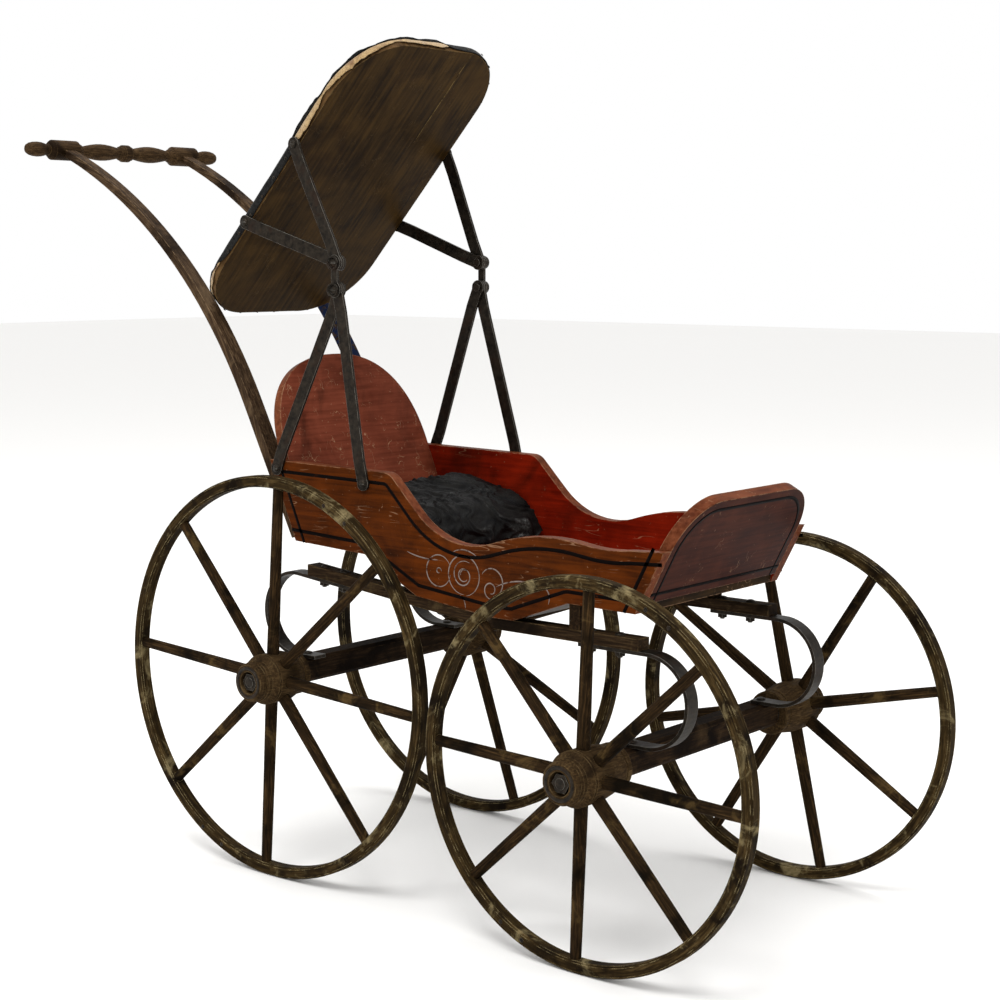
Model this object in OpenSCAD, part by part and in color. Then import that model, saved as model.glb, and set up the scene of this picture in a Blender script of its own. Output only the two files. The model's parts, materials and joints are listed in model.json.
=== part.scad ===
// Antique wooden doll carriage with a tilting canopy.
// +X is the front, +Z is up, the origin is on the ground under the middle of the carriage.
// Inside the modules X is measured from the rear axle; place() moves it to the origin.

/* [Wheels] */
// Radius of a rear wheel over its rim
rear_wheel_r = 178; // [148:1:215]
// Radius of a front wheel over its rim
front_wheel_r = 154; // [128:1:186]
// Distance between the front and rear axles
wheelbase = 353; // [340:1:425]
// Distance between the middle planes of the rear rims
rear_track = 271; // [265:1:325]
// Distance between the middle planes of the front rims
front_track = 308; // [290:1:370]
// Radial thickness of a bent wood rim
rim_t = 10; // [8:0.5:12]
// Width of a rim across its tread
rim_w = 12; // [10:0.5:15]
// Number of spokes in each wheel
spoke_count = 8; // [6:1:10]
// Diameter of a spoke where it leaves the hub
spoke_d = 11; // [9:0.5:13]
// Diameter of a spoke where it enters the rim
spoke_tip_d = 9; // [7:0.5:10.5]
// Depth of the spoke sockets
socket_depth = 4; // [3:0.5:5]
// Largest radius of the turned hub
hub_r = 22; // [20:0.5:27]
// Length of the hub nose outside the rim plane
hub_nose = 29; // [24:1:35]

/* [Axles] */
// Diameter of the round iron axles
axle_d = 9; // [7.5:0.5:11]
// Width of a wooden axle bed, front to back
bed_w = 22; // [18:1:27]
// Height of a wooden axle bed
bed_h = 22; // [20:1:27]
// Height of the top of a bed above its axle
bed_rise = 13; // [11.5:0.5:15]
// Half length of the rear axle bed
rear_bed_half = 104; // [100:1:110]
// Half length of the front axle bed
front_bed_half = 112; // [108:1:125]

/* [Springs and rails] */
// Outer radius of a C-spring's bend
spring_r = 38.25; // [32:0.25:46]
// Thickness of the spring strip
spring_t = 3; // [2:0.25:4]
// Width of the spring strip
spring_w = 14; // [12:0.5:16]
// Length of the straight upper arm of a spring
spring_arm = 66; // [62:1:80]
// Length of the straight foot of a spring
spring_foot = 24; // [20:1:28]
// Distance of a spring's middle plane from the centre plane
spring_y = 95; // [92:1:96]
// Thickness of a side rail
rail_t = 9.5; // [8:0.5:12]
// Width of a side rail
rail_w = 15; // [12:0.5:17]
// Place of the bend in the rails, from the rear axle
rail_bend_x = 222; // [200:1:240]

/* [Body] */
// Outer width of the body
body_w = 208; // [200:1:216]
// Thickness of the side boards
side_t = 10; // [8:0.5:12]
// Thickness of the back board
back_t = 9; // [7:0.5:11]
// Thickness of the front board
dash_t = 10; // [8:0.5:12]
// Upright thickness of the floor boards
floor_t = 7; // [5:0.5:9]
// Height of the rear floor above the rails' rear ends
rear_clear = 20; // [14:1:28]
// Height of the front floor above the rails
front_clear = 19.5; // [14:0.5:28]
// Height of the side boards at the seat, above the rear floor
side_h = 68; // [58:1:80]
// Length of the rear floor
rear_floor_len = 83; // [72:1:96]
// Length of the slope down into the foot well
well_back_len = 59; // [48:1:66]
// Length of the foot well's floor
well_len = 104; // [88:1:118]
// Length of the slope up out of the foot well
well_front_len = 55; // [46:1:66]
// Length of the front floor
front_floor_len = 65; // [55:1:78]
// Backward lean of the side boards' rear ends
side_lean = 24.5; // [18:0.5:28]
// Backward lean of the back board
back_lean = 22; // [16:0.5:26]
// Height of the back board along its lean
back_h = 171.5; // [145:0.5:200]
// Forward lean of the front board
dash_lean = 27.3; // [20:0.1:32]
// Height of the front board along its lean
dash_h = 88.7; // [75:0.1:105]
// Radius of the front board's top corners
dash_corner_r = 44; // [30:1:52]
// Depth of the dip in the side boards below their seat top
valley_drop = 53.5; // [45:0.5:60]

/* [Seat] */
// Length of the seat board
seat_len = 100; // [90:1:120]
// Thickness of the seat board
seat_t = 6; // [5:0.5:8]
// Thickness of the seat cushion
cushion_t = 5; // [4:0.5:8]
// Height of the crumpled cloth over the cushion
cloth_t = 17; // [12:1:22]

/* [Handle] */
// Distance of a handle shaft from the centre plane
handle_y = 76; // [70:0.5:79]
// Lean of the straight lower part of the shafts
handle_lean = 27.3; // [24:0.1:30]
// Length of the straight lower part of a shaft
handle_straight = 132; // [110:1:155]
// Radius of the bend in a shaft
handle_bend_r = 493; // [420:1:560]
// Lean of the shafts where they reach the grip
handle_top_lean = 69; // [60:0.5:76]
// Thickness of a shaft at its foot
shaft_t = 9; // [8:0.5:10.5]
// Thickness of a shaft at the grip
shaft_tip_t = 7; // [6:0.5:8]
// Width of a shaft at its foot
shaft_w = 16; // [13:0.5:18]
// Width of a shaft at the grip
shaft_tip_w = 11; // [9:0.5:13]
// Length of the turned grip over its end knobs
grip_len = 243; // [225:1:285]
// Radius of the grip's plain blocks
grip_block_r = 9.75; // [9:0.25:12]

/* [Canopy] */
// Distance of the canopy pivots in front of the rear axle
pivot_x = 44.3; // [38:0.1:50]
// Height of the lower pivots above the side boards
stay_h = 152.5; // [130:0.5:180]
// Distance between the two holes of a link
link_len = 23; // [19:0.5:27]
// Width of the iron stays
stay_w = 11.5; // [10:0.5:13]
// Thickness of the iron stays and links
stay_t = 2.4; // [2:0.1:3]
// Radius of the round ends of stays and links
eye_r = 6.75; // [6:0.25:8]
// Length of the canopy board
canopy_len = 316; // [280:1:350]
// Width of the canopy board
canopy_w = 196; // [190:1:204]
// Corner radius of the canopy board
canopy_corner_r = 61; // [45:1:75]
// Thickness of the canopy board
canopy_t = 6; // [5:0.5:8]
// Thickness of the wadding on the canopy board
wadding_t = 3.2; // [2:0.2:5]
// Thickness of the canopy's cloth cover
cover_t = 1; // [0.8:0.1:1.6]
// Height of the canopy board above its pivots, square to the board
canopy_rise = 99.5; // [90:0.5:115]
// Tilt of the canopy board at rest
canopy_tilt = 47; // [40:0.5:50]
// Distance between the two stays' feet on the canopy board
canopy_foot_gap = 90; // [75:1:105]

/* [Fits] */
// Radial clearance of a turning or bolted fit
fit = 0.05; // [0.02:0.01:0.1]
// Gap between faces that touch
gap = 0.1; // [0.05:0.05:0.2]
// Gap between faces that turn past each other
side_gap = 0.3; // [0.2:0.05:0.5]

/* [Hidden] */

oak = "#5a4630";
dark_oak = "#3c2e1e";
iron = "#34332f";
paint = "#8a3c12";
red_paint = "#7c1f12";
maroon = "#5a2420";
cloth_black = "#25272a";
wadding_tan = "#c0a878";

// Wheels and axles
axle_r = axle_d / 2;
nut_r = 7;
nut_t = 5;
washer_t = 2;
washer_r = 11;
recess_depth = 7;
// Turns of the wheels as the carriage stands
right_rear_turn = 3.5;
left_rear_turn = 26;
right_front_turn = 2;
left_front_turn = 32;
rear_hub_in = rear_track / 2 - rear_bed_half - washer_t - side_gap;
front_hub_in = front_track / 2 - front_bed_half - washer_t - side_gap;
screw_r = 2;
small_screw_r = 1.4;
head_r = 4.2;
small_head_r = 3.5;
head_t = 2;
slot_w = 0.8;
slot_depth = 0.7;

// Springs and rails: the rail lies on the springs' upper arms
rear_bed_top = rear_wheel_r + bed_rise;
front_bed_top = front_wheel_r + bed_rise;
rear_spring_x = -5;
front_spring_x = wheelbase + 22;
rail_slope = atan((rear_bed_top - front_bed_top) / (rail_bend_x - rear_spring_x));
rail_z0 = front_bed_top + spring_r * (1 + 1 / cos(rail_slope)) + 2 * gap;
rail_z1 = rail_z0 + rail_t;
front_spring_r = (rail_z0 - front_bed_top - 2 * gap) / 2;
rail_rear_x = 12;
rail_front_x = wheelbase + 14;
spring_screw_x = 4;
rear_bolts = [27, 50];
front_bolts = [wheelbase - 36, wheelbase - 8];
rail_screws = [165, 215];
rail_screw_out = 3;
bolt_nut_t = 3.5;
bolt_nut_r = 4.4;
rivet_r = 3.6;
rivet_t = 1.6;

// Body outline, X and Z of the lower edge from the rear to the front
body_in = body_w / 2 - side_t;
body_rear_x = -1;
rear_floor_z = rail_top(rail_rear_x) + rear_clear;
front_floor_z = rail_z1 + front_clear;
well_x0 = body_rear_x + rear_floor_len;
well_x1 = well_x0 + well_back_len;
well_x2 = well_x1 + well_len;
well_x3 = well_x2 + well_front_len;
body_front_x = well_x3 + front_floor_len;
low_edge = [
    [body_rear_x, rear_floor_z], [well_x0, rear_floor_z - 4],
    [well_x1, rail_top(well_x1) + gap], [rail_bend_x, rail_z1 + gap], [well_x2, rail_z1 + gap],
    [well_x3, front_floor_z + 1], [body_front_x, front_floor_z]
];

// Upper edge of the side boards: corner, dip, crest and second dip as tangent arcs
side_top_z = rear_floor_z + side_h;
corner_r = 16;
valley_r = 80;
crest_r = 188;
dip_r = 150;
crest_h = 14.5;
dip_drop = 4.5;
corner_x = 104;
corner_c = [corner_x, side_top_z - corner_r];
valley_z = side_top_z - valley_drop;
valley_c = [corner_c[0] + valley_drop + (sqrt(2) - 1) * (corner_r + valley_r), valley_z + valley_r];
crest_z = valley_z + crest_h;
crest_c = [valley_c[0] + tangent_run(valley_r + crest_r, crest_h), crest_z - crest_r];
dip_c = [crest_c[0] + tangent_run(crest_r + dip_r, dip_drop), crest_z - dip_drop + dip_r];
front_top_z = crest_z - dip_drop + 3;
rise_angle = angle_to(valley_c, crest_c);
fall_angle = angle_to(crest_c, dip_c);
side_top = concat(
    [[body_rear_x - side_h * tan(side_lean), side_top_z + 2]],
    arc(corner_c, corner_r, 90, 45, 6),
    arc(valley_c, valley_r, 225, 360 + rise_angle, 12),
    arc(crest_c, crest_r, 180 + rise_angle, fall_angle, 10),
    arc(dip_c, dip_r, 180 + fall_angle, 278, 5),
    [[body_front_x + (front_top_z - front_floor_z) * tan(dash_lean), front_top_z]]
);

// Back board and front board
back_in_x = body_rear_x + 10.5;
shoulder_u = side_h / cos(back_lean);
dash_z = front_floor_z + floor_t + 2 * gap;
dash_x = body_front_x + (floor_t + 2 * gap) * tan(dash_lean);

// Seat
seat_z = rear_floor_z + floor_t + 10;
seat_x0 = back_in_x - (seat_z - rear_floor_z) * tan(back_lean) + 0.5;
cleat_h = 9;
cleat_w = 9;

// Handle
shaft_foot = [-22, rear_floor_z];
shaft_knee = shaft_foot + handle_straight * [-sin(handle_lean), cos(handle_lean)];
grip_c = shaft_point(handle_top_lean);
shaft_steps = 24;
upper_cleat_z = rear_floor_z + 53;
lower_cleat_z = rear_floor_z + 12;
upper_cleat_half = 13;
lower_cleat_half = 11;

// Canopy linkage, distances from the centre plane of the layers of stays and links
foot_y = body_w / 2 + gap;
link_y = foot_y - 7;
outer_stay_y = link_y - side_gap - stay_t;
inner_stay_y = outer_stay_y - gap - stay_t;
lower_pivot_z = side_top_z + stay_h;
upper_pivot_z = lower_pivot_z + link_len;
canopy_back = 0.9;
canopy_edge_y = canopy_w / 2 + cover_t + 2 * gap;
stay_flat = 20;
stay_feet = [[pivot_x - 66, side_top_z - 5], [pivot_x + 38, side_top_z - 11]];
canopy_feet = [canopy_back - canopy_foot_gap / 2 - 3, canopy_back + canopy_foot_gap / 2 - 3];

// Moves a module from the rear axle's frame to the origin
rear_end_x = grip_c[0] - grip_block_r;
front_end_x = wheelbase + front_wheel_r;
origin_x = (rear_end_x + front_end_x) / 2;
module place() { translate([-origin_x, 0, 0]) children(); }

// Points of an arc about c from angle a0 to a1 in n steps
function arc(c, r, a0, a1, n) =
    [for (i = [0:n]) let (a = a0 + (a1 - a0) * i / n) c + r * [cos(a), sin(a)]];
function angle_to(p, q) = atan2(q[1] - p[1], q[0] - p[0]);
// Run between two tangent arcs whose radii add up to d and whose tops differ by h
function tangent_run(d, h) = sqrt(2 * d * h - h * h);
// Height of the rail's top at x
function rail_top(x) = rail_z1 + max(0, rail_bend_x - x) * tan(rail_slope);
// Height of the front stretch of the body's lower edge at x
function low_edge_z(x) =
    front_floor_z + (body_front_x - x) / (body_front_x - well_x3);
// Points of a rounded rectangle
function round_rect(hx, hy, r) = concat(
    arc([hx - r, hy - r], r, 0, 90, 16), arc([r - hx, hy - r], r, 90, 180, 16),
    arc([r - hx, r - hy], r, 180, 270, 16), arc([hx - r, r - hy], r, 270, 360, 16));
// Centre line of a handle shaft in its bend, at lean angle a
function shaft_point(a) =
    shaft_knee + handle_bend_r * [cos(a) - cos(handle_lean), sin(a) - sin(handle_lean)];
// Faces of the back board and of the shafts at height z
function back_front_x(z) = back_in_x - (z - rear_floor_z) * tan(back_lean);
function back_rear_x(z) = back_front_x(z) - back_t / cos(back_lean);
function shaft_front_x(z) =
    shaft_foot[0] + shaft_t / 2 / cos(handle_lean) - (z - shaft_foot[1]) * tan(handle_lean);
// A point on the canopy in the rear axle's frame: along the board, across, square to the board
function canopy_point(s, y, n) =
    [pivot_x + s * cos(canopy_tilt) - n * sin(canopy_tilt), y,
     upper_pivot_z + s * sin(canopy_tilt) + n * cos(canopy_tilt)];

// Extrudes points in X and Z from y0 to y0 + w
module xz_board(points, y0, w) {
    translate([0, y0 + w, 0]) rotate([90, 0, 0]) linear_extrude(w) polygon(points);
}
// Extrudes points in Y and Z from x = 0 to x = t
module yz_board(points, t) {
    rotate([90, 0, 90]) linear_extrude(t) polygon(points);
}
// Round bar along Y
module y_bar(r, y0, y1, n = 40) {
    translate([0, y0, 0]) rotate([-90, 0, 0]) cylinder(r = r, h = y1 - y0, $fn = n);
}
// Domed, slotted screw pointing along -Z, its head resting on z = 0
module screw(length, head = head_r, shank = screw_r) {
    translate([0, 0, -length]) cylinder(r = shank, h = length + 0.5, $fn = 24);
    difference() {
        rotate_extrude($fn = 32) polygon(concat([[0, 0]], dome_profile(head)));
        translate([-head - 1, -slot_w / 2, head_t - slot_depth]) cube([2 * head + 2, slot_w, 2]);
    }
}
function dome_profile(r) = [for (i = [0:6]) let (a = 15 * i) [r * cos(a), head_t * sin(a)]];
// Copies its children on both sides of the centre plane
module both_sides() {
    children();
    mirror([0, 1, 0]) children();
}

// Wheels, modelled for the left side with the axle along +Y and the rim plane at y = 0
module rim(r) {
    bevel = 1.5;
    inner = r - rim_t;
    half = rim_w / 2;
    color(oak) difference() {
        rotate([-90, 0, 0]) rotate_extrude($fn = 120) polygon([
            [inner + bevel, -half], [r - bevel, -half], [r, bevel - half], [r, half - bevel],
            [r - bevel, half], [inner + bevel, half], [inner, half - bevel],
            [inner, bevel - half]]);
        spoke_places() translate([0, 0, inner - 1])
            cylinder(r = spoke_tip_d / 2 + fit, h = 1 + socket_depth, $fn = 24);
    }
}
module spoke_places() {
    for (i = [0:spoke_count - 1]) rotate([0, i * 360 / spoke_count, 0]) children();
}
module spokes(r) {
    foot = hub_r - socket_depth + gap;
    tip = r - rim_t + socket_depth - gap;
    color(dark_oak) spoke_places() translate([0, 0, foot])
        cylinder(r1 = spoke_d / 2, r2 = spoke_tip_d / 2, h = tip - foot, $fn = 24);
}
module hub(inner_len) {
    nose_r = hub_r - 5;
    back_r = hub_r - 3;
    color(oak) difference() {
        rotate([-90, 0, 0]) rotate_extrude($fn = 72) polygon([
            [0, -inner_len], [back_r - 1, -inner_len], [back_r, 1 - inner_len],
            [back_r, 5 - inner_len], [back_r - 1.5, 6.5 - inner_len], [back_r, 8 - inner_len],
            [hub_r, -12], [hub_r, 9], [hub_r - 1.5, 10.5], [hub_r, 12], [hub_r - 1, 14],
            [nose_r + 1, 17], [nose_r + 1, 21], [nose_r - 1, 22.5], [nose_r, 24],
            [nose_r, hub_nose - 2], [nose_r - 1.5, hub_nose], [0, hub_nose]]);
        y_bar(axle_r + fit, -inner_len - 1, hub_nose + 1);
        y_bar(nut_r * 2 / sqrt(3) + 1.5, hub_nose - recess_depth, hub_nose + 1);
        spoke_places() translate([0, 0, hub_r - socket_depth])
            cylinder(r = spoke_d / 2 + fit, h = socket_depth + 4, $fn = 24);
    }
}
module at_rear_wheel(turn = 0) {
    translate([0, rear_track / 2, rear_wheel_r]) rotate([0, turn, 0]) children();
}
module at_front_wheel(turn = 0) {
    translate([wheelbase, front_track / 2, front_wheel_r]) rotate([0, turn, 0]) children();
}

// Running gear
module axle(x, r, track) {
    half = track / 2 + hub_nose - 1;
    color(iron) translate([x, 0, r]) y_bar(axle_r, -half, half);
}
module axle_bed(x, r, half) {
    bevel = 3;
    hw = bed_w / 2;
    top = bed_rise;
    low = bed_rise - bed_h;
    color(dark_oak) translate([x, 0, r]) difference() {
        xz_board([[-hw, low + bevel], [bevel - hw, low], [hw - bevel, low], [hw, low + bevel],
            [hw, top - bevel], [hw - bevel, top], [bevel - hw, top], [-hw, top - bevel]],
            -half, 2 * half);
        y_bar(axle_r + fit, -half - 1, half + 1);
        both_sides() translate([spring_screw_x, spring_y, top - 6])
            cylinder(r = screw_r + fit, h = 7, $fn = 24);
    }
}
module axle_washers() {
    color(iron) both_sides() {
        translate([0, rear_bed_half + gap, rear_wheel_r]) washer();
        translate([wheelbase, front_bed_half + gap, front_wheel_r]) washer();
    }
}
module washer() {
    difference() {
        y_bar(washer_r, 0, washer_t - gap);
        y_bar(axle_r + fit, -1, washer_t + 1);
    }
}
module axle_nuts() {
    color(iron) both_sides() {
        at_rear_wheel() nut();
        at_front_wheel() nut();
    }
}
module nut() {
    y0 = hub_nose - recess_depth + side_gap;
    difference() {
        y_bar(nut_r * 2 / sqrt(3), y0, y0 + nut_t, 6);
        y_bar(axle_r + fit, y0 - 1, y0 + nut_t + 1);
    }
}
// C-spring on the left side: bend centre at c, bulging along dir, upper arm sloping down
module c_spring(c, r, dir, slope, bolts, screw_x) {
    sweep = 180 + slope;
    bend = [for (i = [0:28]) let (a = 90 + slope - sweep * i / 28) [cos(a), sin(a)]];
    loop = concat(spring_face(bend, r, slope),
        reverse(spring_face(bend, r - spring_t, slope)));
    color(iron) difference() {
        xz_board([for (p = loop) [c[0] + dir * p[0], c[1] + p[1]]],
            spring_y - spring_w / 2, spring_w);
        for (x = bolts) at_rail(x) translate([0, 0, -40])
            cylinder(r = screw_r + fit, h = 41, $fn = 24);
        translate([screw_x, spring_y, c[1] - r - 1])
            cylinder(r = screw_r + fit, h = spring_t + 2, $fn = 24);
    }
}
// One face of the strip: end of the upper arm, the bend, end of the foot
function spring_face(bend, r, slope) = concat(
    [r * bend[0] - spring_arm * [cos(slope), sin(slope)]],
    [for (b = bend) r * b], [[-spring_foot, -r]]);
function reverse(list) = [for (i = [len(list) - 1:-1:0]) list[i]];
module rear_spring() {
    c_spring([rear_spring_x, rear_bed_top + gap + spring_r], spring_r, -1, rail_slope,
        rear_bolts, spring_screw_x);
}
module front_spring() {
    c_spring([front_spring_x, front_bed_top + gap + front_spring_r], front_spring_r, 1, 0,
        front_bolts, wheelbase + spring_screw_x);
}
// A place on top of the left rail, upright to it
module at_rail(x) {
    translate([x, spring_y, rail_top(x)])
        rotate([0, x < rail_bend_x ? rail_slope : 0, 0]) children();
}
module left_rail_blank() {
    top = [[rail_rear_x, rail_top(rail_rear_x)], [rail_bend_x, rail_z1], [rail_front_x, rail_z1]];
    color(oak) difference() {
        xz_board(concat(top, reverse([for (p = top) p - [0, rail_t]])),
            spring_y - rail_w / 2, rail_w);
        for (x = concat(rear_bolts, front_bolts)) at_rail(x) translate([0, 0, -rail_t - 1])
            cylinder(r = screw_r + fit, h = rail_t + 2, $fn = 24);
        for (x = rail_screws) at_rail(x) translate([0, rail_screw_out, -rail_t - 1])
            cylinder(r = screw_r + fit, h = rail_t + 2, $fn = 24);
    }
}
module rest_blocks() {
    length = 10;
    inside = 4;
    x0 = well_x3 + 1;
    x1 = x0 + length;
    color(dark_oak) both_sides() xz_board([[x0, rail_z1 + gap], [x1, rail_z1 + gap],
        [x1, low_edge_z(x1) - gap], [x0, low_edge_z(x0) - gap]],
        body_in - inside, side_t + inside - 1);
}
module spring_bolts() {
    stack = rail_t + spring_t + 5 * gap;
    color(iron) both_sides() {
        for (x = concat(rear_bolts, front_bolts)) at_rail(x) {
            translate([0, 0, gap]) screw(stack + bolt_nut_t + 1.5);
            translate([0, 0, -stack - bolt_nut_t]) difference() {
                cylinder(r = bolt_nut_r, h = bolt_nut_t, $fn = 6);
                translate([0, 0, -1]) cylinder(r = screw_r + fit, h = bolt_nut_t + 2, $fn = 24);
            }
        }
        for (x = [0, wheelbase]) translate([x + spring_screw_x, spring_y,
            (x == 0 ? rear_bed_top : front_bed_top) + spring_t + 2 * gap]) screw(spring_t + 6);
        for (x = rail_screws) at_rail(x) translate([0, rail_screw_out, -rail_t - gap])
            rotate([180, 0, 0]) screw(rail_t + 10);
    }
}

// Body
module left_side_blank() {
    color(paint) difference() {
        xz_board(concat(side_top, reverse(low_edge)), body_in, side_t);
        for (x = rail_screws) at_rail(x) translate([0, rail_screw_out, -1])
            cylinder(r = screw_r + fit, h = 12, $fn = 24);
        for (p = stay_feet) translate([p[0], 0, p[1]])
            y_bar(small_screw_r + fit, body_w / 2 - 7, body_w / 2 + 1, 24);
    }
}
module back_board() {
    half = body_in - gap;
    power = 2.4;
    crown = back_h - shoulder_u;
    color(paint) translate([back_in_x, 0, rear_floor_z]) rotate([0, -back_lean, 0])
        translate([-back_t, 0, 0]) yz_board(concat([[-half, 0], [half, 0]],
            [for (i = [0:48]) let (a = 180 * i / 48)
                [half * sign(cos(a)) * pow(abs(cos(a)), 2 / power),
                 shoulder_u + crown * pow(sin(a), 2 / power)]]), back_t);
}
module dash_board() {
    half = body_in - gap;
    r = dash_corner_r;
    low = -dash_t * tan(dash_lean);
    color(maroon) difference() {
        translate([dash_x, 0, dash_z]) rotate([0, dash_lean, 0])
            translate([-dash_t, 0, 0]) yz_board(concat([[-half, low], [half, low]],
                arc([half - r, dash_h - r], r, 0, 90, 16),
                arc([r - half, dash_h - r], r, 90, 180, 16)), dash_t);
        translate([dash_x - 2 * dash_t, -half - 1, dash_z - dash_t])
            cube([4 * dash_t, 2 * half + 2, dash_t]);
    }
}
// Floor board over stretches of the lower edge, its ends kept apart from its neighbours'
module floor_board(points) {
    last = len(points) - 1;
    edge = [for (i = [0:last]) points[i] + [i == 0 ? gap : i == last ? -gap : 0, gap]];
    color(red_paint) xz_board(concat(edge, reverse([for (p = edge) p + [0, floor_t - gap]])),
        gap - body_in, 2 * (body_in - gap));
}
module rear_floor() { floor_board([[back_in_x, rear_floor_z], low_edge[1]]); }
module well_back() { floor_board([low_edge[1], low_edge[2]]); }
module well_floor() { floor_board([low_edge[2], low_edge[3], low_edge[4]]); }
module well_front() { floor_board([low_edge[4], low_edge[5]]); }
module front_floor() { floor_board([low_edge[5], low_edge[6]]); }

// Seat
module seat_board() {
    color(red_paint) translate([seat_x0, gap - body_in, seat_z])
        cube([seat_len, 2 * (body_in - gap), seat_t]);
}
module seat_cleats() {
    color(dark_oak) both_sides()
        translate([seat_x0 + cleat_h / 2, body_in - gap - cleat_w, seat_z - cleat_h])
            cube([seat_len - 10, cleat_w, cleat_h - gap]);
}
module seat_cushion() {
    half_x = seat_len / 2 - 4;
    color(cloth_black) translate([seat_x0 + seat_len / 2, 0, seat_z + seat_t + side_gap])
        linear_extrude(cushion_t) polygon(round_rect(half_x, body_in - 4, 14));
}
module seat_cloth() {
    x0 = seat_x0 + 4;
    x1 = seat_x0 + seat_len + side_gap;
    z0 = seat_z + seat_t + cushion_t + 2 * side_gap;
    z1 = z0 + cloth_t;
    hem_z = seat_z - 22;
    half = body_in - 6;
    heap = [[x0, z0 + 0.6 * cloth_t], [x0 + 22, z1], [x0 + 36, z1], [x1 - 12, z0 + 3],
        [x1 + 2, z0 - 0.5], [x1 + 10, z0 - 12], [x1 + 18, z0 - 25], [x1 + 19, hem_z]];
    lining = [[x0, z0], [x1 - 4, z0], [x1, z0 - cushion_t], [x1, z0 - cushion_t - 4],
        [x1 + 5, z0 - 14], [x1 + 13, z0 - 24], [x1 + 15, hem_z]];
    color(cloth_black) xz_board(concat(heap, reverse(lining)), -half, 2 * half);
}

// Handle
function shaft_lean(i) =
    i == 0 ? handle_lean
    : handle_lean + (handle_top_lean - handle_lean) * (i - 1) / (shaft_steps - 1);
function shaft_mid(i) = i == 0 ? shaft_foot : shaft_point(shaft_lean(i));
function shaft_half(i) = (shaft_t + (shaft_tip_t - shaft_t) * i / shaft_steps) / 2;
function shaft_face(side, grow) = [for (i = [0:shaft_steps]) let (a = shaft_lean(i))
    shaft_mid(i) + side * (shaft_half(i) + grow) * [cos(a), sin(a)]
        + (i == shaft_steps ? grow : 0) * [-sin(a), cos(a)]];
module shaft_blank(grow = 0) {
    x0 = shaft_foot[0] + 10;
    x1 = grip_c[0] - 10;
    w0 = shaft_w / 2 + grow;
    w1 = shaft_tip_w / 2 + grow;
    intersection() {
        xz_board(concat(shaft_face(1, grow), reverse(shaft_face(-1, grow))),
            handle_y - shaft_w, 2 * shaft_w);
        translate([0, handle_y, 0]) linear_extrude(1200)
            polygon([[x0, -w0], [x0, w0], [x1, w1], [x1, -w1]]);
    }
}
module at_shaft_screw(z) {
    translate([shaft_foot[0] - (z - shaft_foot[1]) * tan(handle_lean), handle_y, z])
        rotate([0, -90 - handle_lean, 0]) children();
}
module left_shaft_blank() {
    color(oak) difference() {
        shaft_blank();
        for (z = [upper_cleat_z, lower_cleat_z]) at_shaft_screw(z) translate([0, 0, -shaft_t])
            cylinder(r = screw_r + fit, h = 2 * shaft_t, $fn = 24);
    }
}
module handle_cleats() {
    color(dark_oak) difference() {
        for (c = [[upper_cleat_z, upper_cleat_half], [lower_cleat_z, lower_cleat_half]]) {
            z0 = c[0] - c[1];
            z1 = c[0] + c[1];
            xz_board([[back_rear_x(z0) - gap, z0], [back_rear_x(z1) - gap, z1],
                [shaft_front_x(z1) + gap, z1], [shaft_front_x(z0) + gap, z0]],
                -handle_y - shaft_w / 2 - 1, 2 * handle_y + shaft_w + 2);
        }
        both_sides() for (z = [upper_cleat_z, lower_cleat_z]) at_shaft_screw(z)
            translate([0, 0, -shaft_t / 2 - 9]) cylinder(r = screw_r + fit, h = 12, $fn = 24);
    }
}
// Turned grip along Y: half of its profile, from the centre ring to the end knob
module handle_grip() {
    block_0 = handle_y - 16;
    block_1 = handle_y + 18;
    knob = grip_len / 2 - block_1 - 3;
    half = concat(
        [[0, 0], [8.5, 0], [8.5, 3.5], [7, 5], [7, 7], [5, 8.5]],
        [for (i = [1:7]) let (y = 8.5 + (block_0 - 14.5) * i / 8)
            [5 + 3.2 * sin(180 * i / 8), y]],
        [[4.8, block_0 - 5], [6.5, block_0 - 3], [grip_block_r - 2, block_0],
         [grip_block_r, block_0 + 2.5], [grip_block_r, block_1 - 2.5],
         [grip_block_r - 2, block_1], [5, block_1 + 1.5], [5, block_1 + 3]],
        [for (i = [1:7]) let (a = 180 * i / 8)
            [3 + 4.2 * sin(a), block_1 + 3 + knob * (1 - cos(a)) / 2]],
        [[3, grip_len / 2], [0, grip_len / 2]]);
    color(oak) difference() {
        both_sides() translate([grip_c[0], 0, grip_c[1]]) rotate([-90, 0, 0])
            rotate_extrude($fn = 48) polygon(half);
        both_sides() shaft_blank(fit);
    }
}
module body_screws() {
    color(iron) both_sides() {
        for (z = [upper_cleat_z, lower_cleat_z]) at_shaft_screw(z)
            translate([0, 0, shaft_t / 2 + gap]) screw(shaft_t + 8);
        for (p = stay_feet) translate([p[0], foot_y + stay_t + gap, p[1]])
            rotate([-90, 0, 0]) screw(stay_t + 6, small_head_r, small_screw_r);
    }
}

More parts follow.
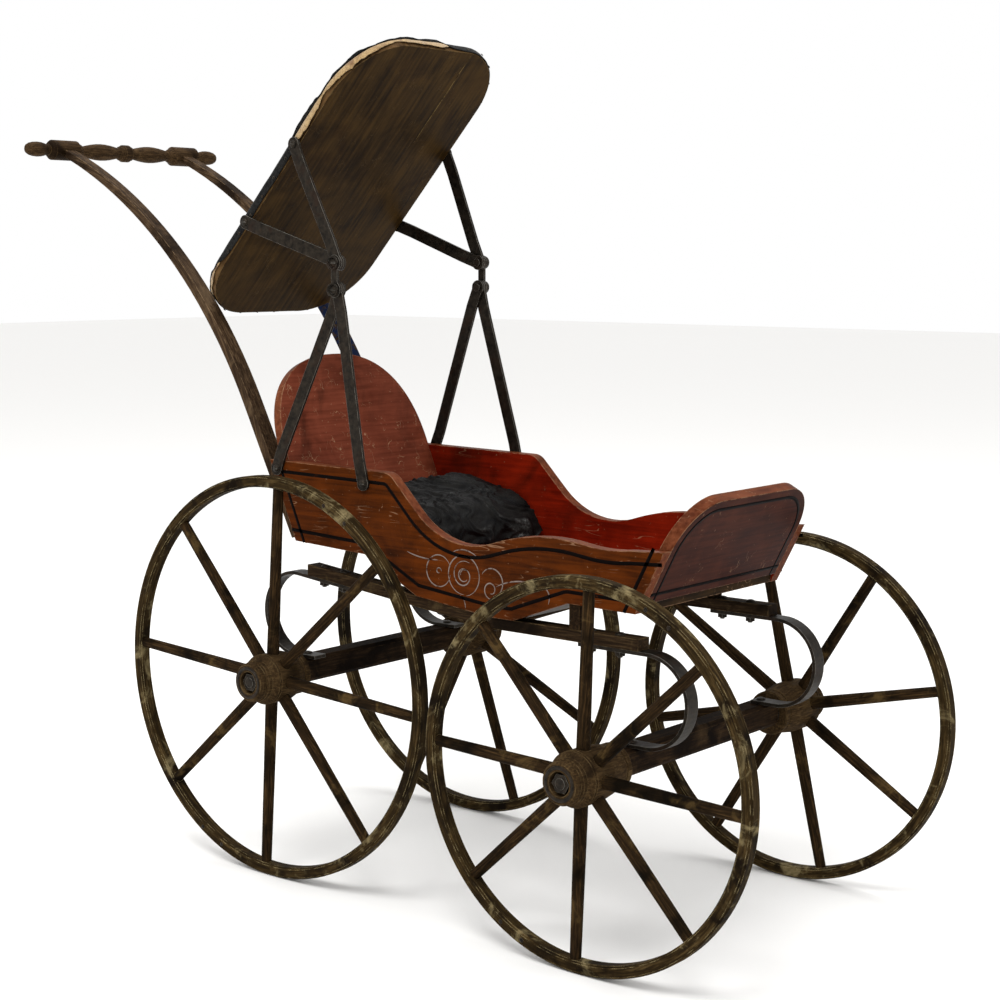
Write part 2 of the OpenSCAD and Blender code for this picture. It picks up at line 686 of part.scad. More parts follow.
// Iron stays, straight with a flat at each end, from inner face p to inner face q
module stay(p, q, p_r = screw_r) {
    run = norm([q[0] - p[0], q[2] - p[2]]);
    dy = q[1] - p[1];
    f = stay_flat;
    t = stay_t;
    color(iron) translate(p) rotate([0, -atan2(q[2] - p[2], q[0] - p[0]), 0]) difference() {
        union() {
            translate([0, 0, -stay_w / 2]) linear_extrude(stay_w) polygon([[0, 0], [f, 0],
                [run - f, dy], [run, dy], [run, dy + t], [run - f, dy + t], [f, t], [0, t]]);
            y_bar(eye_r, 0, t);
            translate([run, 0, 0]) y_bar(stay_w / 2 + 0.4, dy, dy + t);
        }
        y_bar(p_r + fit, -1, t + 1, 24);
        translate([run, 0, 0]) y_bar(small_screw_r + fit, dy - 1, dy + t + 1, 24);
    }
}
module rear_stay() {
    stay([pivot_x, inner_stay_y, lower_pivot_z], [stay_feet[0][0], foot_y, stay_feet[0][1]]);
}
module front_stay() {
    stay([pivot_x, outer_stay_y, lower_pivot_z], [stay_feet[1][0], foot_y, stay_feet[1][1]]);
}
module link() {
    waist = 7;
    color(iron) translate([pivot_x, link_y, lower_pivot_z]) difference() {
        union() {
            y_bar(eye_r, 0, stay_t);
            translate([0, 0, link_len]) y_bar(eye_r, 0, stay_t);
            translate([-waist / 2, 0, 0]) cube([waist, stay_t, link_len]);
        }
        y_bar(screw_r + fit, -1, stay_t + 1, 24);
        translate([0, 0, link_len]) y_bar(screw_r + fit, -1, stay_t + 1, 24);
    }
}
// Pivot screw with a riveted inner end
module pivot_screw(z) {
    inner = inner_stay_y - gap;
    outer = link_y + stay_t + side_gap;
    color(iron) translate([pivot_x, 0, z]) {
        translate([0, outer, 0]) rotate([-90, 0, 0]) screw(outer - inner + 0.5);
        y_bar(rivet_r, inner - rivet_t, inner);
    }
}
module lower_pivot_screws() { both_sides() pivot_screw(lower_pivot_z); }

// Canopy
module on_canopy(n) {
    translate([pivot_x, 0, upper_pivot_z]) rotate([0, -canopy_tilt, 0])
        translate([canopy_back, 0, canopy_rise + n]) children();
}
module canopy_sheet(t, grow) {
    linear_extrude(t) polygon(round_rect(canopy_len / 2 + grow, canopy_w / 2 + grow,
        canopy_corner_r + grow));
}
module canopy_board() {
    color(oak) difference() {
        on_canopy(0) canopy_sheet(canopy_t, 0);
        both_sides() canopy_holes();
    }
}
module canopy_holes() {
    depth = 10;
    for (s = canopy_feet) translate(canopy_point(s, 0, canopy_rise + canopy_t / 2))
        y_bar(small_screw_r + fit, canopy_w / 2 - depth, canopy_edge_y, 24);
}
module canopy_wadding() {
    color(wadding_tan) on_canopy(canopy_t + gap) canopy_sheet(wadding_t, -2);
}
module canopy_cover() {
    top = canopy_t + wadding_t + 2 * gap;
    skirt = 1.5;
    color(cloth_black) difference() {
        on_canopy(skirt) canopy_sheet(top + cover_t - skirt, gap + cover_t);
        on_canopy(skirt - 1) canopy_sheet(top - skirt + 1, gap);
        both_sides() canopy_holes();
    }
}
module canopy_stay(s, y) {
    stay([pivot_x, y, upper_pivot_z],
        canopy_point(s, canopy_edge_y, canopy_rise + canopy_t / 2));
}
module rear_canopy_stay() { canopy_stay(canopy_feet[0], inner_stay_y); }
module front_canopy_stay() { canopy_stay(canopy_feet[1], outer_stay_y); }
module canopy_screws() {
    both_sides() {
        pivot_screw(upper_pivot_z);
        color(iron) for (s = canopy_feet)
            translate(canopy_point(s, canopy_edge_y + stay_t + gap, canopy_rise + canopy_t / 2))
                rotate([-90, 0, 0]) screw(stay_t + 8, small_head_r, small_screw_r);
    }
}
module right() { mirror([0, 1, 0]) children(); }

place() right() at_rear_wheel(right_rear_turn) rim(rear_wheel_r);  // right_rear_rim
place() at_rear_wheel(left_rear_turn) rim(rear_wheel_r);  // left_rear_rim
place() right() at_front_wheel(right_front_turn) rim(front_wheel_r);  // right_front_rim
place() at_front_wheel(left_front_turn) rim(front_wheel_r);  // left_front_rim
place() right() at_rear_wheel(right_rear_turn) spokes(rear_wheel_r);  // right_rear_spokes
place() at_rear_wheel(left_rear_turn) spokes(rear_wheel_r);  // left_rear_spokes
place() right() at_front_wheel(right_front_turn) spokes(front_wheel_r);  // right_front_spokes
place() at_front_wheel(left_front_turn) spokes(front_wheel_r);  // left_front_spokes
place() right() at_rear_wheel(right_rear_turn) hub(rear_hub_in);  // right_rear_hub
place() at_rear_wheel(left_rear_turn) hub(rear_hub_in);  // left_rear_hub
place() right() at_front_wheel(right_front_turn) hub(front_hub_in);  // right_front_hub
place() at_front_wheel(left_front_turn) hub(front_hub_in);  // left_front_hub
place() axle(0, rear_wheel_r, rear_track);  // rear_axle
place() axle(wheelbase, front_wheel_r, front_track);  // front_axle
place() axle_bed(0, rear_wheel_r, rear_bed_half);  // rear_axle_bed
place() axle_bed(wheelbase, front_wheel_r, front_bed_half);  // front_axle_bed
place() axle_washers();
place() axle_nuts();
place() right() rear_spring();  // right_rear_spring
place() rear_spring();  // left_rear_spring
place() right() front_spring();  // right_front_spring
place() front_spring();  // left_front_spring
place() right() left_rail_blank();  // right_rail
place() left_rail_blank();  // left_rail
place() rest_blocks();
place() spring_bolts();
place() right() left_side_blank();  // right_side
place() left_side_blank();  // left_side
place() back_board();
place() dash_board();
place() rear_floor();
place() well_back();
place() well_floor();
place() well_front();
place() front_floor();
place() seat_board();
place() seat_cleats();
place() seat_cushion();
place() seat_cloth();
place() right() left_shaft_blank();  // right_shaft
place() left_shaft_blank();  // left_shaft
place() handle_grip();
place() handle_cleats();
place() body_screws();
place() right() rear_stay();  // right_rear_stay
place() rear_stay();  // left_rear_stay
place() right() front_stay();  // right_front_stay
place() front_stay();  // left_front_stay
place() right() link();  // right_link
place() link();  // left_link
place() lower_pivot_screws();
place() canopy_board();
place() canopy_wadding();
place() canopy_cover();
place() right() rear_canopy_stay();  // right_rear_canopy_stay
place() rear_canopy_stay();  // left_rear_canopy_stay
place() right() front_canopy_stay();  // right_front_canopy_stay
place() front_canopy_stay();  // left_front_canopy_stay
place() canopy_screws();
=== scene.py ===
"""Looks of an antique wooden doll carriage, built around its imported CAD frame.

The CAD nodes keep their shapes and get procedural finishes here. What the CAD leaves plain is
modelled here: painted stripes and scrolls, the crumpled seat cloth and its cushion, the canopy's
wadding and torn oilcloth, its tacks and frayed threads, iron rings and rivets.
Lengths are in metres: +X is the carriage's front, +Y its left, +Z up.
"""

import json
import logging
import math
from dataclasses import dataclass, field
from enum import Enum

import bmesh
import bpy
import numpy as np
from mathutils import Matrix, Vector


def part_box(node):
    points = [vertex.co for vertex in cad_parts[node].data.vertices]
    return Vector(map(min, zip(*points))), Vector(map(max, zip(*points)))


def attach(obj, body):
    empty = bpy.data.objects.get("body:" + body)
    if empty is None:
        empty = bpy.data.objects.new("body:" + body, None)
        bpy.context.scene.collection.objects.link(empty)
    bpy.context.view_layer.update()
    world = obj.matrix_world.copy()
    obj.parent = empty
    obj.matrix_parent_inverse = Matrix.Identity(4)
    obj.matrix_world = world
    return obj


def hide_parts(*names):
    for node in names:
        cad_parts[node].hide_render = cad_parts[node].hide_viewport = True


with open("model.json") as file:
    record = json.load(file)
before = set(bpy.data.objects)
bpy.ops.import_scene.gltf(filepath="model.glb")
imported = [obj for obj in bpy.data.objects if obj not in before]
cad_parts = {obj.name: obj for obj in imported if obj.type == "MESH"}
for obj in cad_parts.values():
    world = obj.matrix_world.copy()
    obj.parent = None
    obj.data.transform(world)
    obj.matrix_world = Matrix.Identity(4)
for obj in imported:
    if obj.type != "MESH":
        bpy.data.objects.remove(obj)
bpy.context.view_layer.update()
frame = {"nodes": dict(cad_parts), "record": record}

log = logging.getLogger("doll_carriage")
Socket = bpy.types.NodeSocket
MM = 0.001
TAU = 2 * math.pi


# ---------------------------------------------------------------- numbers and curves

def smooth_step(low: float, high: float, value: np.ndarray) -> np.ndarray:
    """Rises from 0 at low to 1 at high as 3t^2 - 2t^3, with t the clipped share of the way."""
    t = np.clip((value - low) / (high - low), 0.0, 1.0)
    return t * t * (3.0 - 2.0 * t)


def value_noise(x: np.ndarray, y: np.ndarray, seed: int) -> np.ndarray:
    """Smooth noise from -1 to 1 with a cell of 1.

    A seeded table holds one value per lattice point; the four round each point are blended
    with 3t^2 - 2t^3 weights along both directions.

    Args:
        x: First coordinate, in cells.
        y: Second coordinate, in cells.
        seed: Number that picks the table.

    Returns:
        The noise at each point.
    """
    size = 64
    table = np.random.default_rng(seed).uniform(-1.0, 1.0, (size, size))
    x0, y0 = np.floor(x).astype(int), np.floor(y).astype(int)
    tx, ty = smooth_step(0.0, 1.0, x - x0), smooth_step(0.0, 1.0, y - y0)
    x0, y0, x1, y1 = x0 % size, y0 % size, (x0 + 1) % size, (y0 + 1) % size
    low = table[x0, y0] * (1 - tx) + table[x1, y0] * tx
    high = table[x0, y1] * (1 - tx) + table[x1, y1] * tx
    return low * (1 - ty) + high * ty


def layered_noise(x: np.ndarray, y: np.ndarray, seed: int, layers: int = 4) -> np.ndarray:
    """Sum of value noises, each of half the cell and half the height of the one before."""
    return sum(value_noise(x * 2.0**k, y * 2.0**k, seed + k) / 2.0**k for k in range(layers))


def rounded_rectangle(half_x: float, half_y: float, radius: float, count: int) -> np.ndarray:
    """Evenly spaced points round a rectangle with quarter-circle corners.

    Args:
        half_x: Half length along the first direction.
        half_y: Half length along the second direction.
        radius: Corner radius.
        count: Number of points.

    Returns:
        Array (count, 4): the point, then the outward unit normal.
    """
    turns = np.linspace(0, math.pi / 2, 24)
    corners = []
    for k, (sx, sy) in enumerate(((1, 1), (-1, 1), (-1, -1), (1, -1))):
        a = turns + k * math.pi / 2
        centre = np.array([sx * (half_x - radius), sy * (half_y - radius)])
        corners.append(centre + radius * np.stack([np.cos(a), np.sin(a)], 1))
    points = resample(np.concatenate(corners + [corners[0][:1]]), count + 1)[:-1]
    along = np.roll(points, -1, 0) - np.roll(points, 1, 0)
    along /= np.linalg.norm(along, axis=1, keepdims=True)
    return np.concatenate([points, np.stack([along[:, 1], -along[:, 0]], 1)], 1)


def resample(path: np.ndarray, count: int) -> np.ndarray:
    """Points at equal arc lengths along a polyline, ends included.

    Args:
        path: Points (n, k).
        count: Number of points wanted.

    Returns:
        Points (count, k).
    """
    steps = np.linalg.norm(np.diff(path, axis=0), axis=1)
    run = np.concatenate([[0.0], np.cumsum(steps)])
    at = np.linspace(0.0, run[-1], count)
    return np.stack([np.interp(at, run, path[:, k]) for k in range(path.shape[1])], 1)


def smoothed(path: np.ndarray, rounds: int) -> np.ndarray:
    """A polyline whose inner points move to the mean of their neighbours a few times.

    Args:
        path: Points (n, k).
        rounds: How many times the inner points move.

    Returns:
        The path, with its ends where they were.
    """
    path = path.copy()
    for _ in range(rounds):
        path[1:-1] = (path[:-2] + path[2:]) / 2
    return path


def side_normals(path: np.ndarray) -> np.ndarray:
    """Unit normals to the left of a flat path, from central differences.

    Args:
        path: Points (n, 2).

    Returns:
        Unit vectors (n, 2).
    """
    along = np.gradient(path, axis=0)
    along /= np.linalg.norm(along, axis=1, keepdims=True)
    return np.stack([-along[:, 1], along[:, 0]], 1)


# ---------------------------------------------------------------- meshes

def grid_faces(rows: int, columns: int, wrap_rows: bool, wrap_columns: bool) -> np.ndarray:
    """Quads between neighbouring points of a grid, as an index array (n, 4).

    Args:
        rows: Number of rows.
        columns: Number of points in a row.
        wrap_rows: Joins the last row to the first.
        wrap_columns: Joins the last column to the first.

    Returns:
        Corner indices (n, 4).
    """
    i = np.arange(rows if wrap_rows else rows - 1)[:, None]
    j = np.arange(columns if wrap_columns else columns - 1)[None, :]
    i1, j1 = (i + 1) % rows, (j + 1) % columns
    quads = [i * columns + j, i1 * columns + j, i1 * columns + j1, i * columns + j1]
    return np.stack([np.broadcast_to(q, (i.shape[0], j.shape[1])) for q in quads], -1).reshape(-1, 4)


def surface(name: str, grid: np.ndarray, wrap_columns: bool = False, wrap_rows: bool = False,
            close_first: bool = False, close_last: bool = False) -> bpy.types.Object:
    """Makes a mesh object of a grid of points.

    Args:
        name: Name of the piece.
        grid: Points (rows, columns, 3).
        wrap_columns: Joins the last column to the first.
        wrap_rows: Joins the last row to the first.
        close_first: Closes the first row with a fan round its middle.
        close_last: Closes the last row in the same way.

    Returns:
        The object, at the origin, with smooth faces pointing outwards.
    """
    rows, columns = grid.shape[:2]
    points = grid.reshape(-1, 3)
    faces = grid_faces(rows, columns, wrap_rows, wrap_columns).tolist()
    ring = np.arange(columns)
    for wanted, first in ((close_first, 0), (close_last, (rows - 1) * columns)):
        if wanted:
            middle = len(points)
            points = np.vstack([points, points[first:first + columns].mean(0)])
            faces += np.stack([ring + first, (ring + 1) % columns + first,
                               np.full(columns, middle)], 1).tolist()
    return piece_from(name, points, faces)


def piece_from(name: str, points: np.ndarray, faces: list) -> bpy.types.Object:
    """Makes an object of points and faces, its normals made to agree and point outwards.

    Args:
        name: Name of the piece.
        points: Points (n, 3).
        faces: Point indices of each face.

    Returns:
        The object, at the origin, with smooth faces.
    """
    mesh = bpy.data.meshes.new(name)
    mesh.from_pydata(points.tolist(), [], faces)
    edit = bmesh.new()
    edit.from_mesh(mesh)
    bmesh.ops.recalc_face_normals(edit, faces=edit.faces)
    edit.to_mesh(mesh)
    edit.free()
    mesh.polygons.foreach_set("use_smooth", np.ones(len(mesh.polygons), dtype=bool))
    piece = bpy.data.objects.new(name, mesh)
    bpy.context.scene.collection.objects.link(piece)
    return piece


def joined(name: str, grids: list[np.ndarray], wrap_columns: bool = True) -> bpy.types.Object:
    """One piece made of many tubes, each a grid (rows, columns, 3) closed at both ends.

    Args:
        name: Name of the piece.
        grids: The tubes' points.
        wrap_columns: Joins each tube's last column to its first.

    Returns:
        The object, at the origin.
    """
    points, faces, start = [], [], 0
    for grid in grids:
        rows, columns = grid.shape[:2]
        points.append(grid.reshape(-1, 3))
        faces += (grid_faces(rows, columns, False, wrap_columns) + start).tolist()
        faces.append((np.arange(columns)[::-1] + start).tolist())
        faces.append((np.arange(columns) + start + (rows - 1) * columns).tolist())
        start += rows * columns
    return piece_from(name, np.concatenate(points), faces)


def add_value(piece: bpy.types.Object, name: str, values: np.ndarray) -> None:
    """Stores one number per vertex, which the piece's material reads by name.

    Args:
        piece: The piece.
        name: Name of the value.
        values: One number for each point of the piece's grid; points after them get 0.
    """
    layer = piece.data.attributes.new(name, "FLOAT", "POINT")
    padding = np.zeros(len(piece.data.vertices) - values.size)
    layer.data.foreach_set("value", np.concatenate([values.ravel(), padding]))


def node_points(node: str) -> np.ndarray:
    """Vertices of a CAD node, in metres.

    Args:
        node: The CAD node.

    Returns:
        Points (n, 3).
    """
    mesh = frame["nodes"][node].data
    points = np.empty(len(mesh.vertices) * 3)
    mesh.vertices.foreach_get("co", points)
    return points.reshape(-1, 3)


def node_triangles(node: str) -> np.ndarray:
    """Triangles of a CAD node, as vertex indices (m, 3).

    Args:
        node: The CAD node.

    Returns:
        Vertex indices (m, 3).
    """
    mesh = frame["nodes"][node].data
    mesh.calc_loop_triangles()
    triangles = np.empty(len(mesh.loop_triangles) * 3, dtype=np.int64)
    mesh.loop_triangles.foreach_get("vertices", triangles)
    return triangles.reshape(-1, 3)


def finish(piece: bpy.types.Object, material: bpy.types.Material, body: str) -> bpy.types.Object:
    """Dresses a new piece, hangs it on its body and reports it.

    Args:
        piece: The new piece.
        material: Its material.
        body: The body that carries it.

    Returns:
        The piece.
    """
    piece.data.materials.clear()
    piece.data.materials.append(material)
    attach(piece, body)
    log.info("%s: %d vertices, %s, on %s", piece.name, len(piece.data.vertices),
             material.name, body)
    return piece


def dress(nodes: list[str], material: bpy.types.Material) -> None:
    """Gives CAD nodes their material.

    Args:
        nodes: Names of the nodes.
        material: Their material.
    """
    for node in nodes:
        for place in frame["nodes"][node].material_slots:
            place.material = material
        log.info("%s: %s", node, material.name)


# ---------------------------------------------------------------- materials

def colour(code: str) -> tuple[float, float, float, float]:
    """Turns an sRGB hex value into linear red, green, blue and alpha.

    Args:
        code: Six hex digits.

    Returns:
        The colour for a node's socket.
    """
    parts = [int(code[k:k + 2], 16) / 255 for k in (0, 2, 4)]
    linear = [p / 12.92 if p <= 0.04045 else ((p + 0.055) / 1.055) ** 2.4 for p in parts]
    return (*linear, 1.0)


class Shader:
    """A material being built from nodes."""

    def __init__(self, name: str) -> None:
        """Starts an empty material with a Principled shader.

        Args:
            name: Name of the material.
        """
        self.material = bpy.data.materials.new(name)
        self.material.use_nodes = True
        self.tree = self.material.node_tree
        self.tree.nodes.clear()
        output = self.tree.nodes.new("ShaderNodeOutputMaterial")
        self.surface = self.tree.nodes.new("ShaderNodeBsdfPrincipled")
        self.tree.links.new(self.surface.outputs[0], output.inputs["Surface"])

    def add(self, kind: str, inputs: dict | None = None, **settings: object) -> bpy.types.Node:
        """Adds a node with its settings and links.

        Args:
            kind: The node's type without its ShaderNode prefix.
            inputs: Value or output socket for each named or numbered input.
            settings: Attributes of the node.

        Returns:
            The node.
        """
        node = self.tree.nodes.new("ShaderNode" + kind)
        for key, value in settings.items():
            setattr(node, key, value)
        self.connect(node, inputs or {})
        return node

    def connect(self, node: bpy.types.Node, inputs: dict) -> None:
        """Sets or links a node's inputs.

        Args:
            node: The node.
            inputs: Value or output socket for each named or numbered input.
        """
        for key, value in inputs.items():
            if isinstance(value, Socket):
                self.tree.links.new(value, node.inputs[key])
            else:
                node.inputs[key].default_value = value

    def math(self, operation: str, *values: Socket | float, clamp: bool = False) -> Socket:
        """Result of one sum on numbers or sockets."""
        return self.add("Math", dict(enumerate(values)), operation=operation,
                        use_clamp=clamp).outputs[0]

    def ramp(self, value: Socket, stops: list[tuple[float, str]]) -> Socket:
        """Colour that runs through hex stops as the value goes from 0 to 1.

        Args:
            value: Number from 0 to 1.
            stops: Place and hex colour of each stop.

        Returns:
            The colour.
        """
        node = self.add("ValToRGB", {0: value})
        line = node.color_ramp
        while len(line.elements) < len(stops):
            line.elements.new(0.5)
        for element, (place, code) in zip(line.elements, stops):
            element.position = place
            element.color = colour(code)
        return node.outputs[0]

    def blend(self, share: Socket | float, first: Socket | str, second: Socket | str,
              mode: str = "MIX") -> Socket:
        """Mixes two colours by a share from 0 to 1.

        Args:
            share: Share of the second colour.
            first: Socket or hex colour.
            second: Socket or hex colour.
            mode: Blender's name of the blend.

        Returns:
            The mixed colour.
        """
        inputs = {0: share, 6: colour(first) if isinstance(first, str) else first,
                  7: colour(second) if isinstance(second, str) else second}
        return self.add("Mix", inputs, data_type="RGBA", blend_type=mode,
                        clamp_factor=True).outputs[2]

    def between(self, value: Socket | float, low: float, high: float) -> Socket:
        """Turns low to high into 0 to 1, clipped at both ends."""
        return self.add("MapRange", {0: value, 1: low, 2: high, 3: 0.0, 4: 1.0},
                        interpolation_type="SMOOTHSTEP").outputs[0]

    def noise(self, where: Socket, size_mm: float, detail: float = 4.0,
              distortion: float = 0.0, roughness: float = 0.55) -> Socket:
        """Noise whose features are about size_mm wide.

        Args:
            where: Coordinates in metres.
            size_mm: Width of the features.
            detail: Number of finer layers.
            distortion: How far the coordinates are stirred first.
            roughness: Strength of the finer layers.

        Returns:
            The noise, from 0 to 1.
        """
        inputs = {"Vector": where, "Scale": 1.0 / (size_mm * MM), "Detail": detail,
                  "Distortion": distortion, "Roughness": roughness}
        return self.add("TexNoise", inputs).outputs[0]

    def edge_wear(self, reach_mm: float) -> tuple[Socket, Socket]:
        """Mask of the corners within reach_mm, and the rounded normal there.

        Args:
            reach_mm: Distance from the corner.

        Returns:
            The mask, 1 on a corner, and the rounded normal.
        """
        soft = self.add("Bevel", {"Radius": reach_mm * MM}, samples=6).outputs[0]
        true = self.add("NewGeometry").outputs["Normal"]
        match = self.add("VectorMath", {0: soft, 1: true}, operation="DOT_PRODUCT").outputs["Value"]
        return self.between(match, 0.985, 0.86), soft

    def bump(self, height: Socket, depth_mm: float, normal: Socket | None = None,
             strength: float = 1.0) -> Socket:
        """Normal bent by a height map that is depth_mm deep.

        Args:
            height: Height map, from 0 to 1.
            depth_mm: Depth of the map.
            normal: Normal to bend, or the surface's own.
            strength: Share of the bend.

        Returns:
            The bent normal.
        """
        inputs = {"Height": height, "Distance": depth_mm * MM, "Strength": strength}
        if normal is not None:
            inputs["Normal"] = normal
        return self.add("Bump", inputs).outputs[0]


class Grain(Enum):
    """Which way the fibres of a wooden piece run."""

    ALONG = "along the piece's own X axis, after its turn"
    ACROSS = "along Y"
    RING = "round a centre, as in a bent rim or shaft"
    STAR = "outwards from a centre, as in spokes"


def grain_place(shader: Shader, grain: Grain, centre: tuple[float, float, float],
                turn: float) -> Socket:
    """Coordinates in metres squeezed along the fibres, so that noise on them looks drawn out.

    A straight piece squeezes its own X or Y to a sixteenth. Round a centre the coordinates are
    angle, distance and Y, and the angle (ring) or the distance (star) is squeezed.

    Args:
        shader: Material being built.
        grain: Direction of the fibres.
        centre: A point on the piece's axis, in metres.
        turn: Turn of the piece's X axis about Y, in degrees.

    Returns:
        The squeezed coordinates.
    """
    own = shader.add("TexCoord").outputs["Object"]
    moved = shader.add("Mapping", {"Vector": own, "Location": centre,
                                   "Rotation": (0.0, math.radians(turn), 0.0)},
                       vector_type="TEXTURE").outputs[0]
    stretch = {Grain.ALONG: (0.06, 1.0, 1.0), Grain.ACROSS: (1.0, 0.06, 1.0)}
    if grain in stretch:
        return shader.add("Mapping", {"Vector": moved, "Scale": stretch[grain]}).outputs[0]
    split = shader.add("SeparateXYZ", {0: moved}).outputs
    distance = shader.math("SQRT", shader.math("ADD", shader.math("MULTIPLY", split[0], split[0]),
                                               shader.math("MULTIPLY", split[2], split[2])))
    angle = shader.math("ARCTAN2", split[0], split[2])
    round_scale, out_scale = (0.012, 1.0) if grain is Grain.RING else (0.16, 0.06)
    return shader.add("CombineXYZ", {0: shader.math("MULTIPLY", angle, round_scale),
                                     1: split[1],
                                     2: shader.math("MULTIPLY", distance, out_scale)}).outputs[0]


@dataclass(frozen=True)
class OldWood:
    """Bare or thinly varnished hardwood, darkened by a century of handling.

    The eye sees fine dark pores drawn out along the fibres, broad patches of dirt, and corners
    rubbed back to paler wood.
    """

    name: str
    dark: str
    middle: str
    light: str
    rubbed: str
    grain: Grain
    centre: tuple[float, float, float] = (0.0, 0.0, 0.0)
    turn: float = 0.0
    fibre_mm: float = 1.6
    roughness: float = 0.62
    wear: float = 0.75

    def build(self) -> bpy.types.Material:
        """Builds the material.

        Returns:
            The finished wood.
        """
        shader = Shader(self.name)
        own = shader.add("TexCoord").outputs["Object"]
        along = grain_place(shader, self.grain, self.centre, self.turn)
        fibres = shader.noise(along, self.fibre_mm, 6.0, 0.5, 0.65)
        pores = shader.noise(along, self.fibre_mm / 4, 3.0)
        patches = shader.noise(own, 45.0, 4.0, 0.8)
        base = shader.ramp(fibres, [(0.3, self.dark), (0.5, self.middle), (0.72, self.light)])
        base = shader.blend(shader.between(pores, 0.56, 0.7), base, self.dark)
        base = shader.blend(shader.between(patches, 0.46, 0.68), base, self.dark)
        bare = shader.between(shader.noise(own, 30.0, 7.0, 0.6, 0.68), 0.54, 0.7)
        base = shader.blend(shader.math("MULTIPLY", bare, 0.8 * self.wear - 0.4), base, self.rubbed)
        edges, soft = shader.edge_wear(1.3)
        broken = shader.between(shader.noise(own, 7.0, 5.0), 0.38, 0.62)
        rub = shader.math("MULTIPLY", shader.math("MULTIPLY", edges, broken), self.wear)
        base = self.over(shader, own, base)
        shader.connect(shader.surface, {
            "Base Color": shader.blend(rub, base, self.rubbed),
            "Roughness": shader.math("ADD", shader.math("MULTIPLY", fibres, 0.22),
                                     self.roughness - 0.1),
            "Specular IOR Level": 0.02,
            "Normal": shader.bump(shader.math("ADD", fibres, pores), 0.22, soft, 0.7)})
        return shader.material

    def over(self, shader: Shader, own: Socket, base: Socket) -> Socket:
        """Colour over the wood; plain wood has none.

        Args:
            shader: Material being built.
            own: Object coordinates.
            base: Colour of the wood.

        Returns:
            The colour that shows.
        """
        return base


@dataclass(frozen=True)
class BandedWood(OldWood):
    """Old wood with one stretch brushed over in dark blue, as on the left handle shaft."""

    band: str = "141f3a"
    low: float = 0.425
    high: float = 0.535

    def over(self, shader: Shader, own: Socket, base: Socket) -> Socket:
        """Blue between two heights, with worn ends.

        Args:
            shader: Material being built.
            own: Object coordinates.
            base: Colour of the wood.

        Returns:
            The colour that shows.
        """
        height = shader.add("SeparateXYZ", {0: own}).outputs[2]
        share = shader.math("MULTIPLY", shader.between(height, self.low, self.low + 0.008),
                            shader.between(height, self.high, self.high - 0.008))
        worn = shader.between(shader.noise(own, 5.0, 5.0), 0.62, 0.5)
        return shader.blend(shader.math("MULTIPLY", share, worn), base, self.band)


